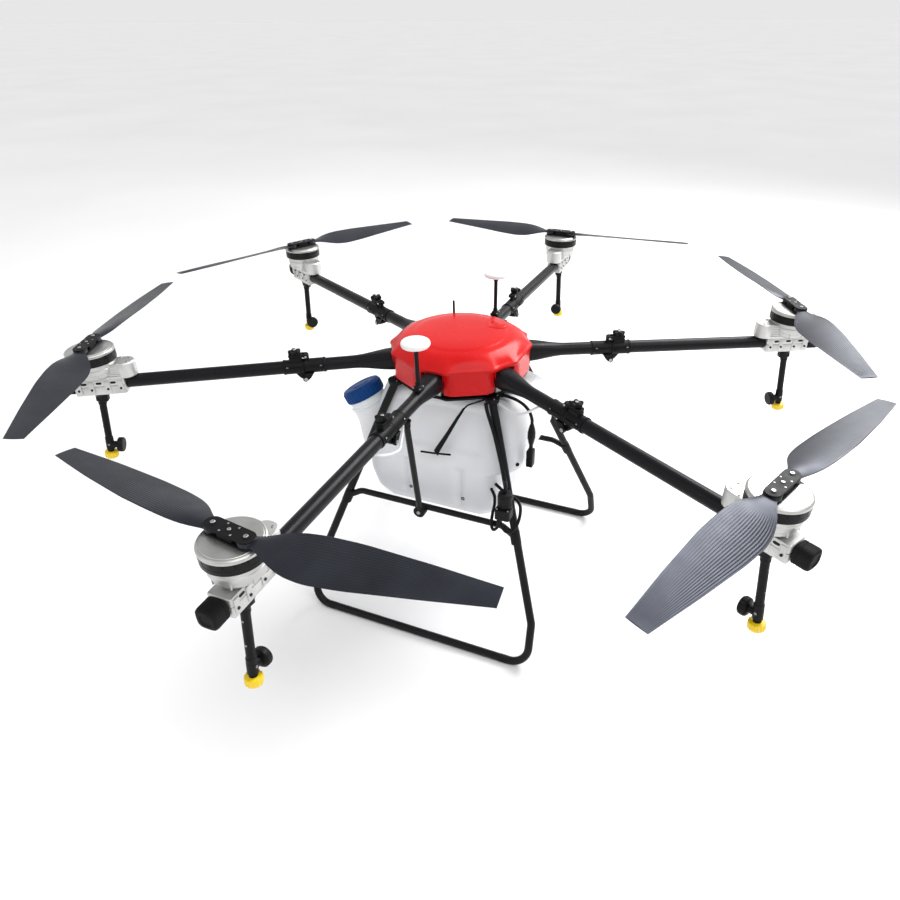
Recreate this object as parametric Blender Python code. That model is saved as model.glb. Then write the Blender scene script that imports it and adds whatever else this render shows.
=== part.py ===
"""Agricultural spray drone: six folding arms under one canopy, a spray tank and two skid frames.

Run it in Blender 4.5. Metres, +Z up. The origin is on the ground under the middle of the hub,
+Y points to the end with the battery lead, and arm 1 lies along +X.
"""

import bpy
import bmesh
from math import cos, pi, radians, sin, tan
from mathutils import Matrix, Vector

# ---------------------------------------------------------------- driving dimensions
ARM_COUNT = 6
MOTOR_RADIUS = 0.800        # hub axis to motor axis, along an arm
DECK_HEIGHT = 0.609         # ground to the arms' axis, at the fold joints
ARM_DROOP = radians(1.45)   # the arms slope down this much towards the motors
FOLD_X = 0.356              # fold hinge, along the arm
FOLD_Z = -0.0265            # fold hinge, below the arm's axis
TUBE_R = 0.0148             # arm tube
COLLAR_R = 0.0185           # clamp collars on both sides of the fold joint
ROOT_R = 0.0215             # the arm's thick root inside the canopy
ROOT_START = 0.115          # inner end of the root, under the canopy
ROOT_END = 0.165            # where the root starts to taper
TAPER_END = 0.235           # where it has become the plain tube
COLLAR_LENGTH = 0.047
FOLD_GAP = 0.0006           # between the two collars' faces
LATCH_X = 0.350             # latch pin, along the arm
LATCH_Z = 0.0255
ARM_TIP = 0.882             # outer end of the rubber end cap
MAST_X = 0.222              # satellite receiver masts, on arms 1 and 4
GAP = 0.0003                # between pieces that touch

BELL_R = 0.050              # motor bell
BELL_Z = (0.0560, 0.0835)   # underside and top of the bell, above the arm's axis
BLADE_PIVOT = 0.0315        # blade bolt, from the motor's axis
BLADE_Z = 0.0911            # middle of the blade roots
BLADE_ROOT_HEIGHT = 0.0074
BLADE_BOLT_R = 0.0040

CANOPY_R = 0.1663           # corners of the canopy's twelve-sided outline
CANOPY_PANEL_TURN = radians(21.2)   # half the angle that a wide side panel covers
CANOPY_WALL = 0.003
AERIAL_R = 0.139            # radio aerial, from the hub axis
AERIAL_TURN = radians(210)
PLATE_Z = (-0.0360, -0.0310)        # lower plate of the centre frame
TOP_PLATE_Z = (0.0275, 0.0310)

SKID_TUBE_R = 0.0095
SKID_TOP = (0.105, 0.118, -0.0363)      # upper end of a leg, below the deck
SKID_BASE = (0.303, -0.6003)            # side distance and depth of the ground bars

# Rest angle of each rotor's clamp from its arm, and of each blade from its clamp, in degrees.
ROTOR_REST = (82.3, 97.5, 86.0, 90.0, 93.5, 82.5)
BLADE_REST_A = (12.0, -3.0, 5.0, -3.5, 4.5, 8.5)
BLADE_REST_B = (-2.5, 0.5, -5.0, 4.5, -4.0, -5.0)

ROUND = 12                  # sides of a plain round piece


# ---------------------------------------------------------------- mesh helpers
def new_mesh(bm):
    """Turns a bmesh into a mesh with outward faces."""
    bmesh.ops.remove_doubles(bm, verts=bm.verts, dist=1e-6)
    bmesh.ops.recalc_face_normals(bm, faces=bm.faces)
    mesh = bpy.data.meshes.new("shape")
    bm.to_mesh(mesh)
    bm.free()
    return mesh


def loft(rings):
    """Closed solid through rings that hold the same number of points."""
    bm = bmesh.new()
    rows = [[bm.verts.new(p) for p in ring] for ring in rings]
    count = len(rows[0])
    for low, high in zip(rows, rows[1:]):
        for i in range(count):
            j = (i + 1) % count
            bm.faces.new((low[i], low[j], high[j], high[i]))
    bm.faces.new(rows[0][::-1])
    bm.faces.new(rows[-1])
    return new_mesh(bm)


def box(low, high):
    """Box between two corners."""
    rings = []
    for z in (low[2], high[2]):
        corners = ((low[0], low[1]), (high[0], low[1]), (high[0], high[1]), (low[0], high[1]))
        rings.append([(x, y, z) for x, y in corners])
    return loft(rings)


def circle(radius, count=ROUND, start=0.0):
    """Points of a circle in a plane."""
    turns = [start + 2 * pi * i / count for i in range(count)]
    return [(radius * cos(t), radius * sin(t)) for t in turns]


def prism(outline, low, high):
    """Upright prism of a flat outline."""
    return loft([[(x, y, z) for x, y in outline] for z in (low, high)])


def turned(profile, count=ROUND):
    """Solid of revolution about Z. The profile is (radius, height) from one pole to the other."""
    bm = bmesh.new()
    rows = []
    for radius, height in profile:
        if radius < 1e-6:
            rows.append([bm.verts.new((0, 0, height))])
        else:
            start = pi / count
            rows.append([bm.verts.new((x, y, height)) for x, y in circle(radius, count, start)])
    for low, high in zip(rows, rows[1:]):
        for i in range(count):
            j = (i + 1) % count
            corners = [low[i % len(low)], low[j % len(low)], high[j % len(high)], high[i % len(high)]]
            face = list(dict.fromkeys(corners))
            if len(face) > 2:
                bm.faces.new(face)
    return new_mesh(bm)


def rod(start, end, radius, count=ROUND):
    """Cylinder from one point to another."""
    start, end = Vector(start), Vector(end)
    along = end - start
    mesh = turned([(0, 0), (radius, 0), (radius, along.length), (0, along.length)], count)
    mesh.transform(Matrix.Translation(start) @ along.to_track_quat("Z", "Y").to_matrix().to_4x4())
    return mesh


def rounded_path(corners, radius, steps=3):
    """Polyline through the corners, with each inner corner turned on an arc."""
    points = [Vector(corners[0])]
    for before, corner, after in zip(corners, corners[1:], corners[2:]):
        corner = Vector(corner)
        back = (Vector(before) - corner).normalized()
        ahead = (Vector(after) - corner).normalized()
        half = back.angle(ahead) / 2
        reach = radius / tan(half)
        centre = corner + (back + ahead).normalized() * (radius / sin(half))
        first = corner + back * reach - centre
        last = corner + ahead * reach - centre
        for i in range(steps + 1):
            spoke = first.lerp(last, i / steps).normalized()
            points.append(centre + spoke * radius)
    points.append(Vector(corners[-1]))
    return points


def pipe(points, radius, count=8):
    """Round bar along a flat path, with a flat side facing down on its level stretches."""
    normal = Vector((0, 0, 0))
    for a, b in zip(points, points[1:]):
        for c in points:
            cross = (b - a).cross(c - a)
            if cross.length > normal.length:
                normal = cross
    normal.normalize()
    rings = []
    for i, point in enumerate(points):
        back = (point - points[i - 1]).normalized() if i else None
        ahead = (points[i + 1] - point).normalized() if i + 1 < len(points) else None
        along = ((back or ahead) + (ahead or back)).normalized()
        side = along.cross(normal).normalized()
        stretch = 1.0 / max(along.dot(back or ahead), 0.5)
        ring = []
        for u, v in circle(radius, count, pi / count):
            ring.append(point + side * u * stretch + normal * v)
        rings.append(ring)
    return loft(rings)


def moved(mesh, matrix):
    """The mesh after a move or turn."""
    mesh.transform(matrix)
    return mesh


def combine(mesh, added=(), removed=()):
    """Boolean union of the solids in added, then difference of those in removed."""
    base = bpy.data.objects.new("base", mesh)
    bpy.context.scene.collection.objects.link(base)
    tools = []
    for operation, solids in (("UNION", added), ("DIFFERENCE", removed)):
        for solid in solids:
            tool = bpy.data.objects.new("tool", solid)
            bpy.context.scene.collection.objects.link(tool)
            tools.append(tool)
            modifier = base.modifiers.new(operation.lower(), "BOOLEAN")
            modifier.operation = operation
            modifier.solver = "EXACT"
            modifier.object = tool
    evaluated = base.evaluated_get(bpy.context.evaluated_depsgraph_get())
    result = bpy.data.meshes.new_from_object(evaluated)
    for item in [base] + tools:
        bpy.data.objects.remove(item)
    bm = bmesh.new()
    bm.from_mesh(result)
    bmesh.ops.remove_doubles(bm, verts=bm.verts, dist=2e-5)
    bmesh.ops.dissolve_degenerate(bm, edges=bm.edges, dist=2e-5)
    bm.to_mesh(result)
    bm.free()
    return result


def shift(x=0.0, y=0.0, z=0.0):
    return Matrix.Translation((x, y, z))


def turn(angle, axis="Z"):
    return Matrix.Rotation(angle, 4, axis)


# ---------------------------------------------------------------- materials and placing
def make_material(name, colour, roughness, metallic=0.0):
    material = bpy.data.materials.new(name)
    material.diffuse_color = (*colour, 1.0)
    material.use_nodes = True
    shader = material.node_tree.nodes["Principled BSDF"]
    shader.inputs["Base Color"].default_value = (*colour, 1.0)
    shader.inputs["Roughness"].default_value = roughness
    shader.inputs["Metallic"].default_value = metallic
    return material


def place(name, mesh, material, parent, matrix=None):
    """Adds a named piece, shaded smooth where its faces turn gently."""
    piece = bpy.data.objects.new(name, mesh)
    bpy.context.scene.collection.objects.link(piece)
    if material.name not in mesh.materials:
        mesh.materials.clear()
        mesh.materials.append(material)
        mesh.shade_smooth()
        mesh.set_sharp_from_angle(angle=radians(40))
    piece.parent = parent
    piece.matrix_local = matrix or Matrix.Identity(4)
    return piece


def make_frame(name, parent, matrix):
    """An empty that carries other pieces."""
    frame = bpy.data.objects.new(name, None)
    bpy.context.scene.collection.objects.link(frame)
    frame.parent = parent
    frame.matrix_local = matrix
    return frame


# ---------------------------------------------------------------- arms
def make_inner_arm():
    """Root, taper, tube and inner collar, with the fold hinge's ears and pin and the latch's lug."""
    collar_end = FOLD_X - FOLD_GAP / 2
    collar_start = collar_end - COLLAR_LENGTH
    profile = [(0, ROOT_START), (ROOT_R, ROOT_START), (ROOT_R, ROOT_END), (TUBE_R, TAPER_END),
               (TUBE_R, collar_start), (COLLAR_R, collar_start), (COLLAR_R, collar_end), (0, collar_end)]
    body = moved(turned(profile), turn(pi / 2, "Y"))
    ear_r = 0.0070
    added = []
    for side in (-1, 1):
        y = sorted((side * 0.0095, side * 0.0165))
        added.append(box((FOLD_X - 0.022, y[0], FOLD_Z - ear_r), (FOLD_X, y[1], FOLD_Z + 0.014)))
        added.append(rod((FOLD_X, y[0], FOLD_Z), (FOLD_X, y[1], FOLD_Z), ear_r, 12))
    added.append(rod((FOLD_X, -0.014, FOLD_Z), (FOLD_X, 0.014, FOLD_Z), 0.0040, 8))
    added.append(box((LATCH_X - 0.006, -0.0045, 0.012), (LATCH_X + 0.0045, 0.0045, LATCH_Z + 0.004)))
    added.append(rod((LATCH_X, -0.0088, LATCH_Z), (LATCH_X, 0.0088, LATCH_Z), 0.0022, 8))
    return combine(body, added)


def make_outer_arm():
    """Outer collar with its hinge knuckle and latch catch, the tube, and the rubber end cap."""
    collar_start = FOLD_X + FOLD_GAP / 2
    collar_end = collar_start + COLLAR_LENGTH
    cap_start = 0.853
    profile = [(0, collar_start), (COLLAR_R, collar_start), (COLLAR_R, collar_end), (TUBE_R, collar_end),
               (TUBE_R, cap_start), (0.0180, cap_start), (0.0180, ARM_TIP - 0.003),
               (0.0150, ARM_TIP), (0, ARM_TIP)]
    body = moved(turned(profile), turn(pi / 2, "Y"))
    knuckle_r = 0.0074
    half = 0.0090
    added = [
        box((FOLD_X, -half, FOLD_Z - knuckle_r), (FOLD_X + 0.026, half, FOLD_Z + 0.014)),
        rod((FOLD_X, -half, FOLD_Z), (FOLD_X, half, FOLD_Z), knuckle_r, 12),
        box((0.365, -0.0080, 0.012), (0.381, 0.0080, 0.0240)),
    ]
    pin_hole = rod((FOLD_X, -0.03, FOLD_Z), (FOLD_X, 0.03, FOLD_Z), 0.0046, 8)
    clear_inner = box((FOLD_X - 0.02, -0.03, FOLD_Z + knuckle_r + 0.0002), (collar_start, 0.03, 0.05))
    mesh = combine(body, added, [pin_hole, clear_inner])
    return moved(mesh, shift(-FOLD_X, 0, -FOLD_Z))


def make_latch():
    """Swing latch: two cheeks on the pin, a bridge over the catch, and a lobed hand knob."""
    top = 0.0305
    body = box((0.3585, -0.0085, 0.0245), (0.3885, 0.0085, top))
    added = []
    for side in (-1, 1):
        y = sorted((side * 0.0050, side * 0.0085))
        added.append(box((LATCH_X - 0.0050, y[0], LATCH_Z - 0.0040), (0.3600, y[1], top)))
    lobes = 5
    outline = []
    for i in range(lobes * 2):
        reach = 0.0122 + 0.0028 * cos(i * pi)
        angle = pi * i / lobes
        outline.append((0.3735 + reach * cos(angle), reach * sin(angle)))
    added.append(prism(outline, top - 0.001, 0.0400))
    pin_hole = rod((LATCH_X, -0.02, LATCH_Z), (LATCH_X, 0.02, LATCH_Z), 0.0025, 8)
    mesh = combine(body, added, [pin_hole])
    return moved(mesh, shift(-LATCH_X, 0, -LATCH_Z))


def make_motor_mount():
    """Cast clamp on the tube, the controller housing on it, the motor's base and its stator."""
    clamp = box((0.742, -0.0205, -0.0195), (0.850, 0.0205, 0.0160))
    housing = box((0.732, -0.0225, 0.0152), (0.818, 0.0225, 0.0500))
    nose = moved(prism(circle(0.0222, 12, pi / 12), 0.0154, 0.0490), shift(0.737))
    base = moved(turned([(0, 0.019), (0.032, 0.019), (0.040, 0.026), (0.043, 0.036), (0.043, 0.0548), (0, 0.0548)], 16),
                 shift(MOTOR_RADIUS))
    stator = moved(turned([(0, 0.052), (0.041, 0.052), (0.041, 0.0730), (0, 0.0730)], 16),
                   shift(MOTOR_RADIUS))
    tube_hole = rod((0.70, 0, 0), (0.90, 0, 0), TUBE_R + GAP)
    return combine(clamp, [housing, nose, base, stator], [tube_hole])


def make_nozzle():
    """Hanging pole with its elbow flange, diaphragm valve and fluted cap, in one screwed unit."""
    profile = [(0, 0), (0.0140, 0), (0.0140, -0.0060), (0.0065, -0.0150), (0.0065, -0.1280),
               (0.0090, -0.1280), (0.0090, -0.1500), (0.0065, -0.1560), (0.0165, -0.1570),
               (0.0165, -0.1700), (0.0105, -0.1770), (0, -0.1770)]
    pole = turned(profile, 10)
    stem = rod((0, 0, -0.139), (-0.022, 0, -0.139), 0.0075, 8)
    valve = rod((-0.018, 0, -0.139), (-0.031, 0, -0.139), 0.0145, 10)
    lean = radians(8)
    body = moved(combine(pole, [stem, valve]), shift(0.806, 0, -0.0185) @ turn(-lean, "Y"))
    above = box((0.70, -0.05, -0.0195 - GAP), (0.90, 0.05, 0.05))
    return combine(body, (), [above])


def stadium(half_length, radius):
    """Outline of a bar with round ends, along X."""
    points = []
    for end in (1, -1):
        for i in range(5):
            angle = pi * i / 4 - pi / 2
            points.append((end * (half_length - radius + radius * cos(angle)), end * radius * sin(angle)))
    return points


def make_rotor():
    """Motor bell with the blade clamp on it: two plates, a centre block and the blade bolts."""
    low, top = BELL_Z
    profile = [(0, top), (0.0440, top), (0.0485, top - 0.0025), (BELL_R, top - 0.0055), (BELL_R, low),
               (0.0445, low), (0.0445, top - 0.0085), (0, top - 0.0085)]
    bell = turned(profile, 18)
    root_low = BLADE_Z - BLADE_ROOT_HEIGHT / 2 - GAP
    root_high = BLADE_Z + BLADE_ROOT_HEIGHT / 2 + GAP
    plate_top = root_high + 0.0030
    added = [
        prism(stadium(0.0460, 0.0145), top - 0.001, root_low),
        prism([(x * 0.0150, y * 0.0125) for x, y in ((-1, -1), (1, -1), (1, 1), (-1, 1))],
              root_low - 0.001, root_high + 0.001),
        prism(stadium(0.0460, 0.0135), root_high, plate_top),
    ]
    for side in (-1, 1):
        x = side * BLADE_PIVOT
        added.append(rod((x, 0, root_low - 0.001), (x, 0, plate_top + 0.0005), BLADE_BOLT_R, 8))
        added.append(rod((x, 0, plate_top - 0.0005), (x, 0, plate_top + 0.0022), 0.0058, 8))
    return combine(bell, added)


def make_blade(spin):
    """Folding blade from its bolt to the tip. spin is 1 for a rotor that turns to the left."""
    stations = (  # distance out, leading half, trailing half, thickness, pitch in degrees
        (0.004, 0.0110, 0.0110, 0.0068, 0.0),
        (0.019, 0.0140, 0.0150, 0.0068, 0.0),
        (0.045, 0.0250, 0.0300, 0.0064, 10.0),
        (0.072, 0.0310, 0.0405, 0.0060, 15.0),
        (0.105, 0.0335, 0.0445, 0.0054, 16.0),
        (0.160, 0.0335, 0.0415, 0.0047, 14.0),
        (0.260, 0.0265, 0.0300, 0.0034, 10.0),
        (0.357, 0.0165, 0.0165, 0.0024, 7.0),
    )
    edge = 0.0005
    rings = []
    for out, lead, trail, thick, pitch in stations:
        half = thick / 2
        section = [(-trail, edge), (0.1 * lead, half), (lead, edge),
                   (lead, -edge), (0.1 * lead, -half), (-trail, -edge)]
        rise = radians(pitch)
        rings.append([(out, spin * (t * cos(rise) - h * sin(rise)), t * sin(rise) + h * cos(rise))
                      for t, h in section])
    half = BLADE_ROOT_HEIGHT / 2
    pad = prism(circle(0.0140, 12), -half, half)
    bolt_hole = rod((0, 0, -0.02), (0, 0, 0.02), BLADE_BOLT_R + 0.0004, 8)
    return combine(pad, [loft(rings)], [bolt_hole])


def make_mast():
    """Satellite receiver: a foot on the arm, a thin mast and the disc on top."""
    profile = [(0, 0), (0.0110, 0), (0.0110, 0.0060), (0.0046, 0.0110), (0.0046, 0.0965),
               (0.0270, 0.0975), (0.0300, 0.1020), (0.0280, 0.1075), (0.0180, 0.1105), (0, 0.1115)]
    return moved(turned(profile), shift(MAST_X, 0, 0.0182))


# ---------------------------------------------------------------- middle of the drone
def canopy_ring(corner_radius, z):
    """Twelve corners: a wide side between each two arms and a narrow one over each arm."""
    points = []
    for i in range(ARM_COUNT):
        middle = radians(30 + 60 * i)
        for side in (-1, 1):
            angle = middle + side * CANOPY_PANEL_TURN
            points.append((corner_radius * cos(angle), corner_radius * sin(angle), z))
    return points


def make_canopy():
    """Thin cover, open below, with a notch over each arm and a hole for the radio aerial."""
    levels = ((CANOPY_R, -0.022), (CANOPY_R, 0.033), (0.122, 0.0535), (0.098, 0.0610), (0.050, 0.0640))
    outside = loft([canopy_ring(r, z) for r, z in levels])
    inside_levels = [(CANOPY_R - CANOPY_WALL, -0.030)]
    inside_levels += [(r - CANOPY_WALL, z - CANOPY_WALL) for r, z in levels[1:]]
    inside = loft([canopy_ring(r, z) for r, z in inside_levels])
    removed = [inside]
    for i in range(ARM_COUNT):
        notch = box((0.12, -0.0258, -0.03), (0.20, 0.0258, 0.0270))
        removed.append(moved(notch, turn(radians(60 * i))))
    aerial_hole = rod((AERIAL_R, 0, 0.02), (AERIAL_R, 0, 0.07), 0.0048, 8)
    removed.append(moved(aerial_hole, turn(AERIAL_TURN)))
    return combine(outside, (), removed)


def make_centre_frame():
    """Lower and upper plates with posts between them, arm cradles, leg lugs and the lead's terminal."""
    plate = loft([canopy_ring(0.1585, z) for z in PLATE_Z])
    added = [loft([canopy_ring(0.112, z) for z in TOP_PLATE_Z])]
    for i in range(ARM_COUNT):
        middle = radians(30 + 60 * i)
        post = rod((0.096, 0, PLATE_Z[0] + 0.001), (0.096, 0, TOP_PLATE_Z[0] + 0.001), 0.0100, 8)
        added.append(moved(post, turn(middle)))
        cradle = box((0.108, -0.014, PLATE_Z[0] + 0.001), (0.146, 0.014, -0.0168))
        added.append(moved(cradle, turn(radians(60 * i))))
    for x in (-1, 1):
        for y in (-1, 1):
            leg = Vector((x * SKID_TOP[0], y * SKID_TOP[1], 0))
            added.append(rod(leg + Vector((0, 0, PLATE_Z[0])), leg + Vector((0, 0, PLATE_Z[1])), 0.0175))
    added.append(box((0.060, 0.100, -0.0455), (0.082, 0.1180, PLATE_Z[0] + 0.001)))
    return combine(plate, added)


def make_avionics():
    """Flight controller on a tray, with the radio aerial standing at the tray's end."""
    tray = box((-0.050, -0.030, 0.0313), (AERIAL_R + 0.004, 0.030, 0.0333))
    tray = combine(tray, (), [box((0.060, 0.009, 0.0), (0.2, 0.05, 0.06)),
                              box((0.060, -0.05, 0.0), (0.2, -0.009, 0.06))])
    added = [
        box((-0.045, -0.024, 0.0328), (0.045, 0.024, 0.0480)),
        rod((AERIAL_R, 0, 0.0328), (AERIAL_R, 0, 0.0840), 0.0030, 8),
    ]
    return moved(combine(tray, added), turn(AERIAL_TURN))


TANK_LEVELS = (  # rear, front, half width, corner radius, height from the deck
    (-0.132, 0.126, 0.116, 0.050, -0.3420),
    (-0.152, 0.145, 0.138, 0.045, -0.3350),
    (-0.168, 0.156, 0.150, 0.040, -0.3100),
    (-0.190, 0.160, 0.152, 0.040, -0.2650),
    (-0.190, 0.160, 0.152, 0.040, -0.2080),
    (-0.186, 0.190, 0.146, 0.040, -0.1960),
    (-0.184, 0.197, 0.140, 0.040, -0.1800),
    (-0.176, 0.197, 0.112, 0.040, -0.1000),
    (-0.162, 0.186, 0.097, 0.040, -0.0600),
    (-0.142, 0.166, 0.082, 0.040, -0.0480),
)
TANK_WALL = 0.004
NECK_TOP = Vector((0.080, -0.2150, -0.1050))
NECK_AXIS = Vector((0.0, -0.47, 0.883)).normalized()
NECK_LENGTH = 0.120


def tank_ring(rear, front, side, corner, z):
    """Level section of the tank with round corners."""
    points = []
    for sx, sy, first in ((1, 1, 0), (-1, 1, 90), (-1, -1, 180), (1, -1, 270)):
        centre_x = sx * (side - corner)
        centre_y = (front - corner) if sy > 0 else (rear + corner)
        for i in range(4):
            angle = radians(first + 30 * i)
            points.append((centre_x + corner * cos(angle), centre_y + corner * sin(angle), z))
    return points


def make_tank():
    """Hollow tank with a slanted filler neck, open at the mouth."""
    outside = loft([tank_ring(*level) for level in TANK_LEVELS])
    inner = []
    last = len(TANK_LEVELS) - 1
    for i, (rear, front, side, corner, z) in enumerate(TANK_LEVELS):
        lift = TANK_WALL if i == 0 else (-TANK_WALL if i == last else 0.0)
        inner.append(tank_ring(rear + TANK_WALL, front - TANK_WALL, side - TANK_WALL,
                               corner - TANK_WALL, z + lift))
    tilt = NECK_AXIS.to_track_quat("Z", "Y").to_matrix().to_4x4()
    seat = Matrix.Translation(NECK_TOP - NECK_AXIS * NECK_LENGTH) @ tilt
    neck_profile = [(0, 0), (0.060, 0), (0.060, 0.02), (0.0445, 0.085), (0.0445, NECK_LENGTH),
                    (0, NECK_LENGTH)]
    bore_profile = [(0, 0.010), (0.050, 0.010), (0.056, 0.02), (0.0405, 0.085),
                    (0.0405, NECK_LENGTH + 0.02), (0, NECK_LENGTH + 0.02)]
    neck = moved(turned(neck_profile), seat)
    hollow = combine(loft(inner), [moved(turned(bore_profile), seat)])
    return combine(outside, [neck], [hollow])


def make_tank_cap():
    """Round screw cap on the neck's mouth."""
    profile = [(0, 0), (0.0480, 0), (0.0490, 0.003), (0.0490, 0.026), (0.0450, 0.0310), (0, 0.0320)]
    return moved(turned(profile), NECK_AXIS.to_track_quat("Z", "Y").to_matrix().to_4x4())


def make_skid():
    """One skid frame: bent legs and ground bar, a raised crossbar, and a stay up to the side arm."""
    top = Vector((SKID_TOP[0], 0, SKID_TOP[2]))
    base = Vector((SKID_BASE[0], 0, SKID_BASE[1]))
    down = (base - top).normalized()
    drop = (base - top).length

    def on_frame(y, depth):
        return top + down * (depth * drop) + Vector((0, y, 0))

    outline = ((SKID_TOP[1] - 0.004, -0.02), (0.141, 0.115), (0.281, 0.825), (0.285, 1.0))
    leg = [on_frame(y, depth) for y, depth in outline]
    other = [on_frame(-y, depth) for y, depth in reversed(outline)]
    frame = pipe(rounded_path(leg + other, 0.042), SKID_TUBE_R)
    cross_depth = 0.466
    cross = [on_frame(-0.214, cross_depth + 0.032), on_frame(-0.180, cross_depth),
             on_frame(0.180, cross_depth), on_frame(0.214, cross_depth + 0.032)]
    crossbar = pipe(rounded_path(cross, 0.030), 0.0075)
    foot = on_frame(-0.018, cross_depth) + Vector((0.0125, 0, -0.006))
    head = Vector((0.284, 0.0, -0.0195))
    stay = rod(foot, head, 0.0068, 8)
    eye = rod(foot - Vector((0.0125, 0, 0)), foot + Vector((0.0085, 0, 0)), 0.0140, 10)
    under_arm = box((0.25, -0.05, -0.0195), (0.33, 0.05, 0.05))
    under_deck = box((0.05, -0.20, SKID_TOP[2]), (0.20, 0.20, 0.05))
    below_ground = box((0.25, -0.40, -DECK_HEIGHT - 0.01), (0.35, 0.40, -DECK_HEIGHT))
    return combine(frame, [crossbar, eye, stay], [under_arm, under_deck, below_ground])


def make_pump():
    """Small water pump on a leg: motor can, bracket, pump head and two hose spigots."""
    can = rod((0.207, 0.189, -0.240), (0.207, 0.189, -0.200), 0.0165)
    added = [
        box((0.1845, 0.182, -0.2320), (0.195, 0.196, -0.2150)),
        box((0.1965, 0.172, -0.262), (0.228, 0.206, -0.236)),
        rod((0.208, 0.180, -0.261), (0.208, 0.180, -0.278), 0.0045, 8),
        rod((0.221, 0.180, -0.261), (0.221, 0.180, -0.278), 0.0045, 8),
    ]
    return combine(can, added)


LEAD_ROUTE = ((0.0710, 0.1184, -0.0412), (0.0710, 0.1330, -0.0412), (0.0752, 0.1500, -0.0408),
              (0.0850, 0.1710, -0.0400), (0.0990, 0.1920, -0.0415), (0.1095, 0.2065, -0.0490),
              (0.1150, 0.2140, -0.0640), (0.1150, 0.2140, -0.0740))
LEAD_R = 0.0036
PLUG_TOP = Vector((0.1150, 0.2140, -0.0748))


def smooth_points(route, spacing):
    """Evenly spaced points on a smooth curve through a hand-set route with straight ends."""
    route = [Vector(p) for p in route]
    points = [route[0]]
    for a, b, c, d in zip(route, route[1:], route[2:], route[3:]):
        steps = max(2, round((c - b).length / spacing))
        for i in range(steps):
            t = i / steps
            points.append(0.5 * (2 * b + (c - a) * t + (2 * a - 5 * b + 4 * c - d) * t ** 2
                                 + (3 * b - a - 3 * c + d) * t ** 3))
    points += route[-2:]
    return points


def add_battery_lead(material, parent):
    """The free power lead as a round curve with filled ends."""
    points = smooth_points(LEAD_ROUTE, 2.5 * 2 * LEAD_R)
    curve = bpy.data.curves.new("battery_lead", "CURVE")
    curve.dimensions = "3D"
    curve.bevel_depth = LEAD_R
    curve.bevel_resolution = 2
    curve.use_fill_caps = True
    spline = curve.splines.new("POLY")
    spline.points.add(len(points) - 1)
    for target, point in zip(spline.points, points):
        target.co = (*point, 1.0)
    curve.materials.append(material)
    lead = bpy.data.objects.new("battery_lead", curve)
    bpy.context.scene.collection.objects.link(lead)
    lead.parent = parent
    return lead


def make_battery_plug():
    """Inline fuse housing and the plug below it, joined by a short stub of cable."""
    housing = loft([[(x * w, y * d, z) for x, y in circle(1.0, 10)] for w, d, z in (
        (0.0050, 0.0045, 0.0), (0.0100, 0.0080, -0.014), (0.0110, 0.0085, -0.030), (0.0050, 0.0045, -0.050))])
    stub = rod((0, 0, -0.045), (0, 0, -0.066), 0.0042, 8)
    plug = box((-0.0105, -0.0075, -0.104), (0.0105, 0.0075, -0.064))
    return moved(combine(housing, [stub, plug]), Matrix.Translation(PLUG_TOP))


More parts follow.
